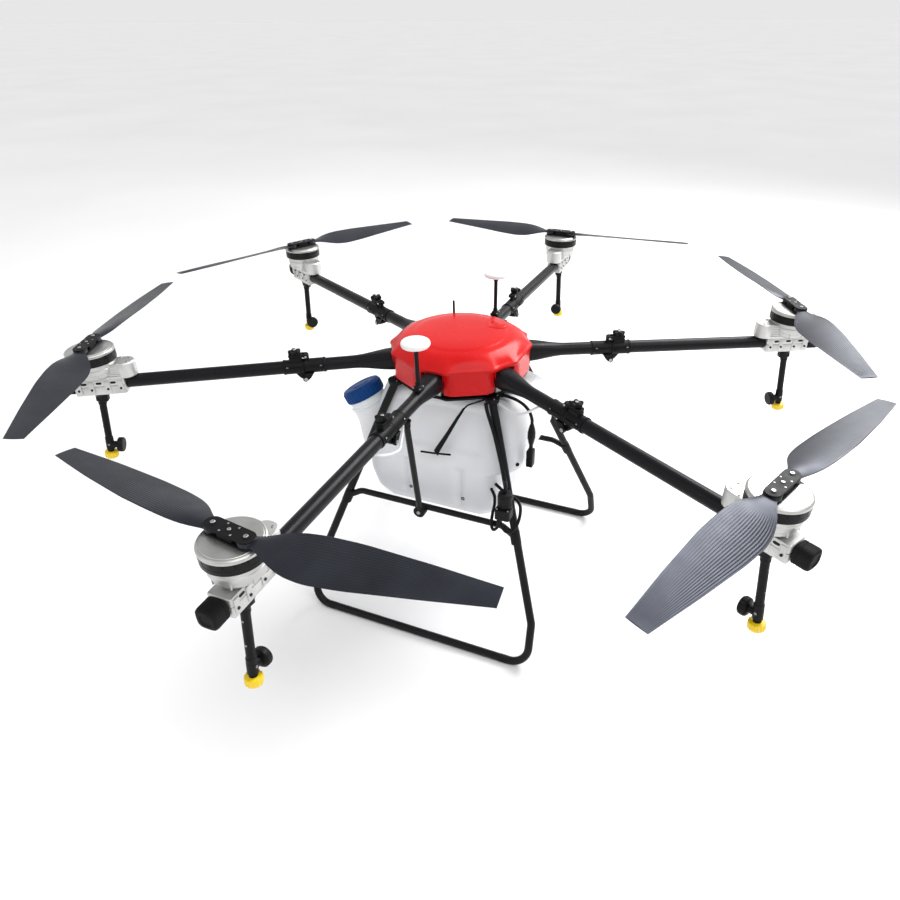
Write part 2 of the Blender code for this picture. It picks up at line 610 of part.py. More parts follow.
# ---------------------------------------------------------------- assembly
def build():
    for item in list(bpy.data.objects):
        bpy.data.objects.remove(item)

    carbon = make_material("carbon", (0.020, 0.020, 0.022), 0.38)
    blade_black = make_material("blade", (0.030, 0.031, 0.034), 0.42)
    cast = make_material("cast_aluminium", (0.62, 0.62, 0.60), 0.42, 1.0)
    bell_grey = make_material("bell", (0.52, 0.52, 0.50), 0.35, 1.0)
    red = make_material("canopy_red", (0.75, 0.012, 0.012), 0.22)
    black = make_material("black_plastic", (0.025, 0.025, 0.025), 0.5)
    tank_white = make_material("tank_white", (0.80, 0.80, 0.80), 0.45)
    cap_blue = make_material("cap_blue", (0.0, 0.038, 0.19), 0.45)
    white = make_material("receiver_white", (0.85, 0.85, 0.85), 0.35)
    yellow = make_material("nozzle_yellow", (0.86, 0.62, 0.015), 0.4)
    rubber = make_material("lead_rubber", (0.02, 0.02, 0.02), 0.6)

    airframe = make_frame("airframe", None, shift(z=DECK_HEIGHT))
    hub_rise = FOLD_X * tan(ARM_DROOP)

    inner_arm = make_inner_arm()
    outer_arm = make_outer_arm()
    latch = make_latch()
    mount = make_motor_mount()
    nozzle = make_nozzle()
    rotor = make_rotor()
    blades = {1: make_blade(1), -1: make_blade(-1)}
    mast = make_mast()

    for i in range(ARM_COUNT):
        number = i + 1
        spin = 1 if i % 2 == 0 else -1
        arm = make_frame(f"arm_{number}", airframe,
                         shift(z=hub_rise) @ turn(radians(60 * i)) @ turn(ARM_DROOP, "Y"))
        place(f"inner_arm_{number}", inner_arm, carbon, arm)
        place(f"outer_arm_{number}", outer_arm, carbon, arm, shift(FOLD_X, 0, FOLD_Z))
        place(f"latch_{number}", latch, black, arm, shift(LATCH_X, 0, LATCH_Z))
        place(f"motor_mount_{number}", mount, cast, arm)
        place(f"nozzle_{number}", nozzle, yellow, arm)
        hub = make_frame(f"rotor_axis_{number}", arm,
                         shift(MOTOR_RADIUS) @ turn(radians(ROTOR_REST[i])))
        place(f"rotor_{number}", rotor, bell_grey, hub)
        for letter, side, rest in (("a", 1, BLADE_REST_A[i]), ("b", -1, BLADE_REST_B[i])):
            bolt = shift(side * BLADE_PIVOT, 0, BLADE_Z) @ turn(radians(rest + (0 if side > 0 else 180)))
            place(f"blade_{number}{letter}", blades[spin], blade_black, hub, bolt)
        if i in (0, 3):
            place("mast_right" if i == 0 else "mast_left", mast, white, arm)

    place("canopy", make_canopy(), red, airframe)
    place("centre_frame", make_centre_frame(), black, airframe)
    place("avionics", make_avionics(), black, airframe)
    place("tank", make_tank(), tank_white, airframe)
    cap_seat = NECK_TOP + NECK_AXIS * GAP
    place("tank_cap", make_tank_cap(), cap_blue, airframe, Matrix.Translation(cap_seat))
    skid = make_skid()
    place("skid_right", skid, black, airframe)
    place("skid_left", skid, black, airframe, turn(pi))
    place("pump", make_pump(), black, airframe)
    add_battery_lead(rubber, airframe)
    place("battery_plug", make_battery_plug(), black, airframe)


build()
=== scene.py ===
"""Looks of the agricultural spray drone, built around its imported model."""

import bpy
import bmesh
from math import cos, pi, radians, sin, tan
from mathutils import Matrix, Vector


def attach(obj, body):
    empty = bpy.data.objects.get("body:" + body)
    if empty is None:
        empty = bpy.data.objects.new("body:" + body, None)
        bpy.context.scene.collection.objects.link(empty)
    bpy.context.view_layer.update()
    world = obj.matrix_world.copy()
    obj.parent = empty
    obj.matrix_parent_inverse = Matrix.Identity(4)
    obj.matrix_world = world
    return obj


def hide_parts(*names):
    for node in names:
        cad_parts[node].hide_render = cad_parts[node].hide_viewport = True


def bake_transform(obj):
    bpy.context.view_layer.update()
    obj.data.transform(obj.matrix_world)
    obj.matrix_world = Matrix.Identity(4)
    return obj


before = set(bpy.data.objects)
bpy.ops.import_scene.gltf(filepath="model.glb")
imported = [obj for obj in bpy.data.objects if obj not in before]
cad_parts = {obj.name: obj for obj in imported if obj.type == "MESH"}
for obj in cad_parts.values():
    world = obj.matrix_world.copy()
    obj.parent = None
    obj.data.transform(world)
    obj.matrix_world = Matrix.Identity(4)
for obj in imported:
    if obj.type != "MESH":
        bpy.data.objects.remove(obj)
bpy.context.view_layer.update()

# ---------------------------------------------------------------- sizes shared with the model, in mm
MM = 0.001
ARM_COUNT = 6
MOTOR_RADIUS = 800
DECK_HEIGHT = 609
ARM_DROOP = radians(1.45)
FOLD_X = 356
FOLD_Z = -26.5
TUBE_R = 14.8
COLLAR_R = 18.5
ROOT_R = 21.5
ROOT_START = 115
LATCH_X = 350
LATCH_Z = 25.5
ARM_TIP = 882
MAST_X = 222
BELL_TOP = 83.5
BLADE_PIVOT = 31.5
BLADE_Z = 91.1
ROTOR_REST = (82.3, 97.5, 86.0, 90.0, 93.5, 82.5)
BLADE_REST_A = (12.0, -3.0, 5.0, -3.5, 4.5, 8.5)
BLADE_REST_B = (-2.5, 0.5, -5.0, 4.5, -4.0, -5.0)
AERIAL_R = 139
AERIAL_TURN = radians(210)
NECK_TOP = Vector((80, -215, -105))
NECK_AXIS = Vector((0.0, -0.47, 0.883)).normalized()
PLUG_TOP = Vector((115, 214, -74.8))
LEAD_ROUTE = ((71, 118.4, -41.2), (71, 133, -41.2), (75.2, 150, -40.8), (85, 171, -40),
              (99, 192, -41.5), (109.5, 206.5, -49), (115, 214, -64), (115, 214, -74))
LEAD_R = 3.6

DECK = Matrix.Translation((0, 0, DECK_HEIGHT))
HUB_RISE = FOLD_X * tan(ARM_DROOP)


def shift(x=0.0, y=0.0, z=0.0):
    return Matrix.Translation((x, y, z))


def turn(angle, axis="Z"):
    return Matrix.Rotation(angle, 4, axis)


def facing(axis):
    """Turn that points Z along an axis."""
    return axis.to_track_quat("Z", "Y").to_matrix().to_4x4()


def arm_matrix(i):
    """Where arm number i + 1 lies: X along the arm from the hub axis, Z up."""
    return DECK @ shift(z=HUB_RISE) @ turn(radians(60 * i)) @ turn(ARM_DROOP, "Y")


# ---------------------------------------------------------------- camera
def make_object(name, data):
    made = bpy.data.objects.new(name, data)
    bpy.context.scene.collection.objects.link(made)
    return made


camera_data = bpy.data.cameras.new("camera")
camera = make_object("camera", camera_data)
camera.location = (1.3735, 0.5976, 1.3024)
camera.rotation_euler = (radians(57.8), radians(0.27), radians(112.37))
camera_data.lens = 28.23
camera_data.sensor_width = 36.0
camera_data.shift_x = -0.025
camera_data.shift_y = -0.003
camera_data.clip_start = 0.02
camera_data.clip_end = 60
bpy.context.scene.camera = camera


# ---------------------------------------------------------------- materials
class Shader:
    """A Principled material with short calls for its nodes."""

    def __init__(self, name, roughness=0.5, metallic=0.0, **fixed):
        self.material = bpy.data.materials.new(name)
        self.material.use_nodes = True
        self.tree = self.material.node_tree
        self.main = self.tree.nodes["Principled BSDF"]
        self.main.inputs["Roughness"].default_value = roughness
        self.main.inputs["Metallic"].default_value = metallic
        for key, value in fixed.items():
            self.main.inputs[key.replace("_", " ")].default_value = value

    def node(self, kind, inputs=(), **settings):
        made = self.tree.nodes.new(kind)
        for key, value in settings.items():
            setattr(made, key, value)
        for key, value in dict(inputs).items():
            if isinstance(value, bpy.types.NodeSocket):
                self.tree.links.new(value, made.inputs[key])
            else:
                made.inputs[key].default_value = value
        return made

    def place(self):
        return self.node("ShaderNodeTexCoord").outputs["Object"]

    def noise(self, scale, detail=3.0, vector=None, roughness=0.5):
        made = self.node("ShaderNodeTexNoise", {"Scale": scale, "Detail": detail,
                                                "Roughness": roughness,
                                                "Vector": vector or self.place()})
        return made.outputs["Fac"]

    def spread(self, value, low, high, start=0.3, end=0.7):
        made = self.node("ShaderNodeMapRange", {"Value": value, "From Min": start, "From Max": end,
                                                "To Min": low, "To Max": high})
        return made.outputs["Result"]

    def colours(self, value, first, second):
        ramp = self.node("ShaderNodeValToRGB", {"Fac": value})
        ramp.color_ramp.elements[0].position = 0.3
        ramp.color_ramp.elements[1].position = 0.7
        ramp.color_ramp.elements[0].color = (*first, 1)
        ramp.color_ramp.elements[1].color = (*second, 1)
        return ramp.outputs["Color"]

    def math(self, operation, a, b=0.0):
        return self.node("ShaderNodeMath", {0: a, 1: b}, operation=operation).outputs[0]

    def use(self, socket, value):
        self.tree.links.new(value, self.main.inputs[socket])

    def bump(self, height, strength, distance):
        made = self.node("ShaderNodeBump", {"Height": height, "Strength": strength,
                                            "Distance": distance})
        self.use("Normal", made.outputs["Normal"])


def plain(name, first, second, rough, grain, bump, metallic=0.0, wear=12.0, **fixed):
    """Moulded, cast or coated surface: soft colour change, uneven sheen and a fine grain."""
    s = Shader(name, sum(rough) / 2, metallic, **fixed)
    s.use("Base Color", s.colours(s.noise(wear, 4.0), first, second))
    s.use("Roughness", s.spread(s.noise(wear * 3.1, 5.0), rough[0], rough[1]))
    s.bump(s.noise(grain, 4.0), bump, 0.0004)
    return s.material


def make_carbon():
    """Satin carbon tube: a twill weave wound round the tube."""
    s = Shader("look_carbon", 0.34, 0.0, Specular_IOR_Level=0.14, Coat_Weight=0.03, Coat_Roughness=0.22)
    axes = s.node("ShaderNodeSeparateXYZ", {"Vector": s.place()})
    around = s.math("MULTIPLY", s.math("ARCTAN2", axes.outputs["Z"], axes.outputs["Y"]), TUBE_R * MM)
    flat = s.node("ShaderNodeCombineXYZ", {"X": axes.outputs["X"], "Y": around, "Z": 0.5})
    slanted = s.node("ShaderNodeMapping", {"Vector": flat.outputs[0], "Rotation": (0, 0, radians(45))})
    weave = s.node("ShaderNodeTexChecker", {"Vector": slanted.outputs[0], "Scale": 420.0})
    threads = s.node("ShaderNodeTexWave", {"Vector": flat.outputs[0], "Scale": 900.0},
                     bands_direction="X")
    mixed = s.math("MULTIPLY", weave.outputs["Fac"], threads.outputs["Fac"])
    s.use("Base Color", s.colours(mixed, (0.004, 0.004, 0.005), (0.013, 0.013, 0.015)))
    s.use("Roughness", s.spread(s.math("ADD", mixed, s.noise(40.0)), 0.26, 0.44, 0.3, 1.4))
    s.bump(mixed, 0.25, 0.00015)
    return s.material


def make_turned_metal(name, first, second):
    """Lathe-turned metal, with fine rings round its axis."""
    s = Shader(name, 0.34, 0.95)
    place = s.place()
    axes = s.node("ShaderNodeSeparateXYZ", {"Vector": place})
    x2 = s.math("MULTIPLY", axes.outputs["X"], axes.outputs["X"])
    y2 = s.math("MULTIPLY", axes.outputs["Y"], axes.outputs["Y"])
    radius = s.math("SQRT", s.math("ADD", x2, y2))
    across = s.node("ShaderNodeCombineXYZ", {"X": radius, "Y": axes.outputs["Z"], "Z": 0.0})
    rings = s.noise(900.0, 2.0, across.outputs[0])
    s.use("Base Color", s.colours(s.noise(30.0, 3.0, place), first, second))
    s.use("Roughness", s.spread(rings, 0.26, 0.46))
    s.bump(rings, 0.18, 0.00010)
    return s.material


def make_tank_plastic():
    """Milky blow-moulded plastic, slightly see-through in the way of wax."""
    s = Shader("look_tank", 0.36, 0.0, Subsurface_Weight=0.15, Subsurface_Scale=0.010, IOR=1.5)
    place = s.place()
    axes = s.node("ShaderNodeSeparateXYZ", {"Vector": place})
    height = s.spread(axes.outputs["Z"], 0.0, 1.0, -0.34, -0.05)
    # Colour darker towards the bottom and lighter towards the top, mixed with a random cloudy tone.
    height_and_cloud = s.math("ADD", s.math("MULTIPLY", height, 0.5),
                   s.math("MULTIPLY", s.noise(9.0, 3.0, place), 0.6))
    s.use("Base Color", s.colours(height_and_cloud, (0.66, 0.67, 0.70), (0.74, 0.75, 0.77)))
    s.use("Roughness", s.spread(s.noise(26.0, 4.0, place), 0.30, 0.46))
    s.bump(s.noise(150.0, 3.0, place), 0.12, 0.0006)
    return s.material


def make_canopy_gloss():
    """Glossy painted cover with a faint ripple."""
    s = Shader("look_canopy", 0.2, 0.0, Specular_IOR_Level=0.15, Coat_Weight=0.05, Coat_Roughness=0.10)
    place = s.place()
    s.use("Base Color", s.colours(s.noise(6.0, 3.0, place), (0.50, 0.005, 0.006), (0.59, 0.010, 0.010)))
    s.use("Roughness", s.spread(s.noise(34.0, 4.0, place), 0.18, 0.30))
    s.bump(s.noise(95.0, 2.0, place), 0.06, 0.0008)
    return s.material


CARBON = make_carbon()
BLACK = plain("look_black", (0.003, 0.003, 0.0035), (0.008, 0.008, 0.009), (0.38, 0.56), 900, 0.25,
              Specular_IOR_Level=0.14)
COATED = plain("look_coated", (0.003, 0.003, 0.0035), (0.007, 0.007, 0.008), (0.28, 0.42), 1400, 0.22,
               Specular_IOR_Level=0.18)
RUBBER = plain("look_rubber", (0.005, 0.005, 0.005), (0.012, 0.012, 0.012), (0.55, 0.75), 1200, 0.35,
               Specular_IOR_Level=0.14)
BLADE = plain("look_blade", (0.008, 0.009, 0.011), (0.018, 0.019, 0.023), (0.28, 0.38), 1100, 0.12,
              Specular_IOR_Level=0.38, Coat_Weight=0.03, Coat_Roughness=0.26,
              Specular_Tint=(0.70, 0.77, 1.0, 1.0))
CAST = plain("look_cast", (0.50, 0.50, 0.485), (0.66, 0.66, 0.645), (0.34, 0.56), 1500, 0.45, 0.85)
BELL = make_turned_metal("look_bell", (0.46, 0.46, 0.44), (0.60, 0.60, 0.58))
BAND = plain("look_band", (0.005, 0.005, 0.006), (0.012, 0.012, 0.012), (0.24, 0.40), 700, 0.2,
             Specular_IOR_Level=0.15)
STEEL = make_turned_metal("look_steel", (0.36, 0.36, 0.36), (0.50, 0.50, 0.49))
RED = make_canopy_gloss()
TANK = make_tank_plastic()
BLUE = plain("look_blue", (0.000, 0.034, 0.150), (0.000, 0.046, 0.200), (0.40, 0.54), 1000, 0.25,
             Specular_IOR_Level=0.16)
WHITE = plain("look_white", (0.76, 0.76, 0.75), (0.86, 0.86, 0.85), (0.24, 0.36), 900, 0.10)
YELLOW = plain("look_yellow", (0.78, 0.52, 0.006), (0.90, 0.66, 0.012), (0.28, 0.42), 900, 0.2)
HOSE = plain("look_hose", (0.62, 0.63, 0.64), (0.76, 0.77, 0.78), (0.22, 0.34), 500, 0.15,
             Subsurface_Weight=0.2, Subsurface_Scale=0.004)


# ---------------------------------------------------------------- shapes: (points, faces), in mm
def ring_faces(rows, count):
    """Faces between rows of points, each row closed on itself."""
    faces = []
    for r in range(rows - 1):
        for i in range(count):
            j = (i + 1) % count
            faces.append((r * count + i, r * count + j, (r + 1) * count + j, (r + 1) * count + i))
    return faces


def loft(rings):
    """Closed solid through rings with the same number of points."""
    count = len(rings[0])
    points = [tuple(p) for ring in rings for p in ring]
    faces = ring_faces(len(rings), count)
    faces.append(tuple(range(count))[::-1])
    faces.append(tuple((len(rings) - 1) * count + i for i in range(count)))
    return points, faces


def arc(x, y, wide, high, first, step, count):
    """Points round a centre at even angles, which are in degrees."""
    angles = [radians(first + step * k) for k in range(count)]
    return [(x + wide * cos(angle), y + high * sin(angle)) for angle in angles]


def lobed(count, reach):
    """Flat ring whose distance out depends on the angle."""
    angles = [2 * pi * k / count for k in range(count)]
    return [(reach(angle) * cos(angle), reach(angle) * sin(angle)) for angle in angles]


def circle(count):
    """Cosine and sine of evenly spaced angles round a full turn."""
    angles = [2 * pi * k / count for k in range(count)]
    return [(cos(angle), sin(angle)) for angle in angles]


def lathe(profile, count=32):
    """Solid of revolution about Z through (radius, height) points, closed flat to the axis."""
    profile = list(profile)
    if profile[0][0] > 0:
        profile.insert(0, (0, profile[0][1]))
    if profile[-1][0] > 0:
        profile.append((0, profile[-1][1]))
    tip = 0.01
    rings = []
    for radius, height in profile:
        reach = max(radius, tip)
        rings.append([(reach * c, reach * s, height) for c, s in circle(count)])
    return loft(rings)


def along_x(shape):
    return moved(shape, turn(pi / 2, "Y"))


def along_y(shape):
    return moved(shape, turn(-pi / 2, "X"))


def moved(shape, matrix):
    points, faces = shape
    return [tuple(matrix @ Vector(p)) for p in points], faces


def plate(outline, low, high, bevel=0.8):
    """Upright slab of a flat outline, with its two rims bevelled."""
    cx = sum(p[0] for p in outline) / len(outline)
    cy = sum(p[1] for p in outline) / len(outline)

    def at(z, inset):
        ring = []
        for x, y in outline:
            away = Vector((x - cx, y - cy))
            scale = max(0.1, 1 - inset / max(away.length, 0.001))
            ring.append((cx + away.x * scale, cy + away.y * scale, z))
        return ring

    return loft([at(low, bevel), at(low + bevel, 0), at(high - bevel, 0), at(high, bevel)])


def round_box(low, high, corner=3, steps=3):
    """Box with its upright edges rounded and its two rims bevelled."""
    outline = []
    for sx, sy, first in ((1, 1, 0), (-1, 1, 90), (-1, -1, 180), (1, -1, 270)):
        x = (high[0] if sx > 0 else low[0]) - sx * corner
        y = (high[1] if sy > 0 else low[1]) - sy * corner
        outline += arc(x, y, corner, corner, first, 90 / steps, steps + 1)
    return plate(outline, low[2], high[2], min(corner * 0.5, 1.2))


def stadium(half, radius, steps=10):
    points = []
    for end in (1, -1):
        for i in range(steps + 1):
            angle = pi * i / steps - pi / 2
            points.append((end * (half - radius + radius * cos(angle)), end * radius * sin(angle)))
    return points


def curve_point(a, b, c, d, t):
    """Point between b and c, on a smooth curve through all four."""
    return 0.5 * (2 * b + (c - a) * t + (2 * a - 5 * b + 4 * c - d) * t ** 2
                  + (3 * b - a - 3 * c + d) * t ** 3)


def smooth(route, steps=8):
    """Points on a smooth curve through a route."""
    route = [Vector(p) for p in route]
    padded = [2 * route[0] - route[1]] + route + [2 * route[-1] - route[-2]]
    points = []
    for a, b, c, d in zip(padded, padded[1:], padded[2:], padded[3:]):
        points += [curve_point(a, b, c, d, i / steps) for i in range(steps)]
    points.append(route[-1])
    return points


def tube(points, radius, count=14):
    """Round bar along a line; radius is a number or one for each point."""
    points = [Vector(p) for p in points]
    radii = radius if isinstance(radius, (list, tuple)) else [radius] * len(points)
    first = (points[1] - points[0]).normalized()
    side = first.orthogonal().normalized()
    rings = []
    for i, point in enumerate(points):
        before = points[max(i - 1, 0)]
        after = points[min(i + 1, len(points) - 1)]
        along = (after - before).normalized()
        side = (side - along * side.dot(along)).normalized()
        up = along.cross(side)
        rings.append([point + (side * c + up * s) * radii[i] for c, s in circle(count)])
    return loft(rings)


def rounded(corners, radius, steps=10):
    """Line through the corners with each inner corner turned on an arc."""
    points = [Vector(corners[0])]
    for before, corner, after in zip(corners, corners[1:], corners[2:]):
        corner = Vector(corner)
        back = (Vector(before) - corner).normalized()
        ahead = (Vector(after) - corner).normalized()
        half = back.angle(ahead) / 2
        centre = corner + (back + ahead).normalized() * (radius / sin(half))
        first = corner + back * (radius / tan(half)) - centre
        last = corner + ahead * (radius / tan(half)) - centre
        for i in range(steps + 1):
            points.append(centre + first.lerp(last, i / steps).normalized() * radius)
    points.append(Vector(corners[-1]))
    return points


class Piece:
    """Solids with their materials, gathered into one object. Their sizes are in millimetres."""

    def __init__(self, name):
        self.name = name
        self.points = []
        self.faces = []
        self.slots = []
        self.materials = []

    def add(self, shape, material, matrix=None):
        points, faces = moved(shape, matrix) if matrix else shape
        start = len(self.points)
        if material not in self.materials:
            self.materials.append(material)
        self.points += points
        self.faces += [tuple(start + k for k in face) for face in faces]
        self.slots += [self.materials.index(material)] * len(faces)
        return self

    def screw(self, radius, height, matrix, count=18, material=None):
        """Socket head screw standing on the XY plane, with a round socket dished into its head."""
        rim = radius * 0.12
        head = [(radius, -1), (radius, height - rim), (radius - rim, height), (radius * 0.55, height),
                (radius * 0.50, height * 0.45), (0, height * 0.40)]
        self.add(lathe(head, count), material or STEEL, matrix)

    def mesh(self, angle=34):
        """The object's mesh in metres, smooth except where faces meet at more than the angle."""
        data = bpy.data.meshes.new(self.name)
        data.from_pydata([Vector(p) * MM for p in self.points], [], self.faces)
        for material in self.materials:
            data.materials.append(material)
        data.polygons.foreach_set("material_index", self.slots)
        bm = bmesh.new()
        bm.from_mesh(data)
        bmesh.ops.remove_doubles(bm, verts=bm.verts, dist=5e-6)
        bmesh.ops.recalc_face_normals(bm, faces=bm.faces)
        bm.to_mesh(data)
        bm.free()
        data.shade_smooth()
        data.set_sharp_from_angle(angle=radians(angle))
        return data


def show(name, mesh, matrix, body, slot, *nodes):
    """Shows a mesh at a place in millimetres, riding on a body and standing for the nodes."""
    piece = make_object(name, mesh)
    place = matrix.copy()
    place.translation *= MM
    piece.matrix_world = place
    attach(piece, body)
    if nodes:
        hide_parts(*nodes)
    return piece


# ---------------------------------------------------------------- battery lead, a free cord
def lead_points():
    """The lead's route with straight ends, as the model has it."""
    route = [Vector(p) for p in LEAD_ROUTE]
    points = [route[0]]
    for a, b, c, d in zip(route, route[1:], route[2:], route[3:]):
        steps = max(4, round((c - b).length / 4))
        points += [curve_point(a, b, c, d, i / steps) for i in range(steps)]
    points += route[-2:]
    return [DECK @ p for p in points]


def make_plug():
    """Inline fuse housing, cable stub and the flat two-pole plug."""
    plug = Piece("battery_plug_look")
    sections = [(5, 4.5, 0.0), (6.2, 5.2, -3), (9.2, 7.4, -12), (10.8, 8.4, -22), (10.8, 8.4, -31),
                (8, 6.6, -41), (5.2, 4.6, -50)]
    rings = [[(w * c, d * s, z) for c, s in circle(24)] for w, d, z in sections]
    plug.add(loft(rings), BLACK)
    sleeve = [(10.812 * c, 8.528 * s) for c, s in circle(24)]
    for z in (-19.5, -26.5, -33.5):
        plug.add(plate(sleeve, z, z + 1.8, 0.5), RUBBER)
    plug.add(lathe([(4.2, -66), (4.2, -46)], 16), RUBBER)
    plug.add(round_box((-10.5, -7.5, -104), (10.5, 7.5, -64), 2.2), BLACK)
    plug.add(round_box((-9.8, -6.8, -66.5), (9.8, 6.8, -62.5), 3), BLACK)
    for k in range(4):
        z = -72 - 4 * k
        plug.add(round_box((-10.8, -5.5, z - 1.8), (10.8, 5.5, z), 0.8, 1), BLACK)
    for x in (-4.8, 4.8):
        plug.add(lathe([(2.8, -104.4), (3.4, -103.6), (0, -103)], 14), STEEL, shift(x, 0, 0))
    return plug.mesh()


plug = show("battery_plug_look", make_plug(), DECK @ shift(*PLUG_TOP), "airframe", "black_plastic",
            "battery_plug")
centre_line = lead_points()
lead_mesh = Piece("battery_lead_look").add(tube(centre_line, LEAD_R, 16), RUBBER).mesh()
lead = show("battery_lead_look", lead_mesh, Matrix.Identity(4), "airframe", "lead_rubber",
            "battery_lead")


# ---------------------------------------------------------------- arms
def collar(start, end):
    """Slim clamp collar along X, with a raised ring at each end."""
    reach = COLLAR_R - 1.4
    ring = [(reach - 1, 0), (reach, 0.8), (reach, 4.6), (reach - 0.7, 5.6)]
    profile = [(r, start + x) for r, x in ring] + [(r, end - x) for r, x in reversed(ring)]
    return along_x(lathe(profile, 40))


def collar_trim(piece, start, end, outer):
    """Low clamp spine along each side of a collar, and the screw at its outer end."""
    for side in (-1, 1):
        spine = round_box((start + 6, -2.6, -4), (end - 6, 2, 4), 1.4)
        piece.add(spine, BLACK, shift(y=side * (COLLAR_R - 2.4)))
        seat = shift(outer, 0, 0) @ turn(-side * radians(76), "X") @ shift(z=COLLAR_R - 2.2)
        piece.add(lathe([(4, -2), (4, 0.6), (3.4, 1.2)], 20), BLACK, seat)
        piece.screw(2.4, 1.8, seat, 14)


def squarish(x, wide, high, power, count=48):
    """Ring across an arm: a circle at power 2, squarer above that."""
    ring = []
    for c, s in circle(count):
        reach = (abs(c) ** power + abs(s) ** power) ** (-1 / power)
        ring.append((x, wide * c * reach, high * s * reach))
    return ring


def inner_arm_mesh():
    arm = Piece("inner_arm_look")
    rings = [squarish(ROOT_START, ROOT_R, ROOT_R, 2.0), squarish(150, ROOT_R, ROOT_R, 2.0)]
    for k in range(19):
        t = k / 18
        fall = 1 - t * t * (3 - 2 * t)
        wide = TUBE_R + (25 - TUBE_R) * fall
        high = TUBE_R + (22.5 - TUBE_R) * fall
        rings.append(squarish(152 + 98 * t, wide, high, 2.0 + 1.2 * fall ** 1.5))
    rings.append(squarish(312, TUBE_R, TUBE_R, 2.0))
    arm.add(loft(rings), CARBON)
    start, end = 308.7, FOLD_X - 0.3
    arm.add(collar(start, end), BLACK)
    collar_trim(arm, start, end, start + 10)
    for side in (-1, 1):
        low, high = sorted((side * 9.5, side * 16.5))
        ear = arc(FOLD_X, FOLD_Z, 7, 7, -90, 18, 9)
        ear += [(FOLD_X - 0.6, FOLD_Z + 14.5), (FOLD_X - 20, FOLD_Z + 14.5), (FOLD_X - 12, FOLD_Z + 3)]
        slab = plate([(x, -z) for x, z in ear], low, high, 0.9)
        arm.add(slab, BLACK, turn(-pi / 2, "X"))
        arm.screw(4.2, 2.2, shift(FOLD_X, side * 16.3, FOLD_Z) @ turn(-side * pi / 2, "X"))
    arm.add(along_y(lathe([(3.8, -14), (3.8, 14)], 20)), STEEL, shift(FOLD_X, 0, FOLD_Z))
    arm.add(round_box((LATCH_X - 6, -4.4, 12), (LATCH_X + 4.4, 4.4, LATCH_Z + 3.8), 1.5), BLACK)
    arm.add(along_y(lathe([(2.4, -10), (2.4, 10)], 16)), STEEL, shift(LATCH_X, 0, LATCH_Z))
    return arm.mesh()


def outer_arm_mesh():
    arm = Piece("outer_arm_look")
    start, end = FOLD_X + 0.3, FOLD_X + 47.3
    arm.add(along_x(lathe([(TUBE_R, 400), (TUBE_R, 856)], 48)), CARBON)
    arm.add(collar(start, end), BLACK)
    collar_trim(arm, start, end, end - 10)
    knuckle = arc(FOLD_X, FOLD_Z, 7.2, 7.2, 90, 18, 11)
    knuckle += [(FOLD_X + 13, FOLD_Z + 2), (FOLD_X + 22, FOLD_Z + 14), (FOLD_X + 0.8, FOLD_Z + 14)]
    arm.add(plate([(x, -z) for x, z in knuckle], -8.9, 8.9, 0.9), BLACK, turn(-pi / 2, "X"))
    arm.add(round_box((360, -8.8, 12), (388, 8.8, 23.8), 2.4), BLACK)
    sections = ((852.5, 17.2), (853.5, 18), (858.5, 18), (859.2, 17.4), (860.5, 17.4), (861.2, 18),
                (ARM_TIP - 6, 18), (ARM_TIP - 2.2, 17), (ARM_TIP - 0.4, 14.5), (ARM_TIP - 0.4, 10),
                (ARM_TIP - 1.6, 9))
    arm.add(loft([squarish(x, reach, reach, 3.4) for x, reach in sections]), RUBBER)
    return arm.mesh()


def latch_mesh():
    latch = Piece("latch_look")
    latch.add(round_box((358.5, -8.5, 24.6), (388.5, 8.5, 30.5), 2.4), BLACK)
    for side in (-1, 1):
        low, high = sorted((side * 5.1, side * 8.5))
        cheek = arc(LATCH_X, LATCH_Z, 5, 4.6, 90, 22.5, 9)
        cheek += [(360.5, LATCH_Z - 0.5), (360.5, 30.3)]
        latch.add(plate([(x, -z) for x, z in cheek], low, high, 0.6), BLACK, turn(-pi / 2, "X"))
    knob = lobed(60, lambda angle: 12.2 + 2.7 * cos(5 * angle))
    latch.add(plate(knob, 31.2, 40, 1.6), BLACK, shift(373.5))
    latch.add(lathe([(7, 30), (7, 40.5), (5.8, 41.2)], 24), BLACK, shift(373.5))
    latch.screw(3.4, 0.6, shift(373.5, 0, 41.2), 16)
    return latch.mesh()


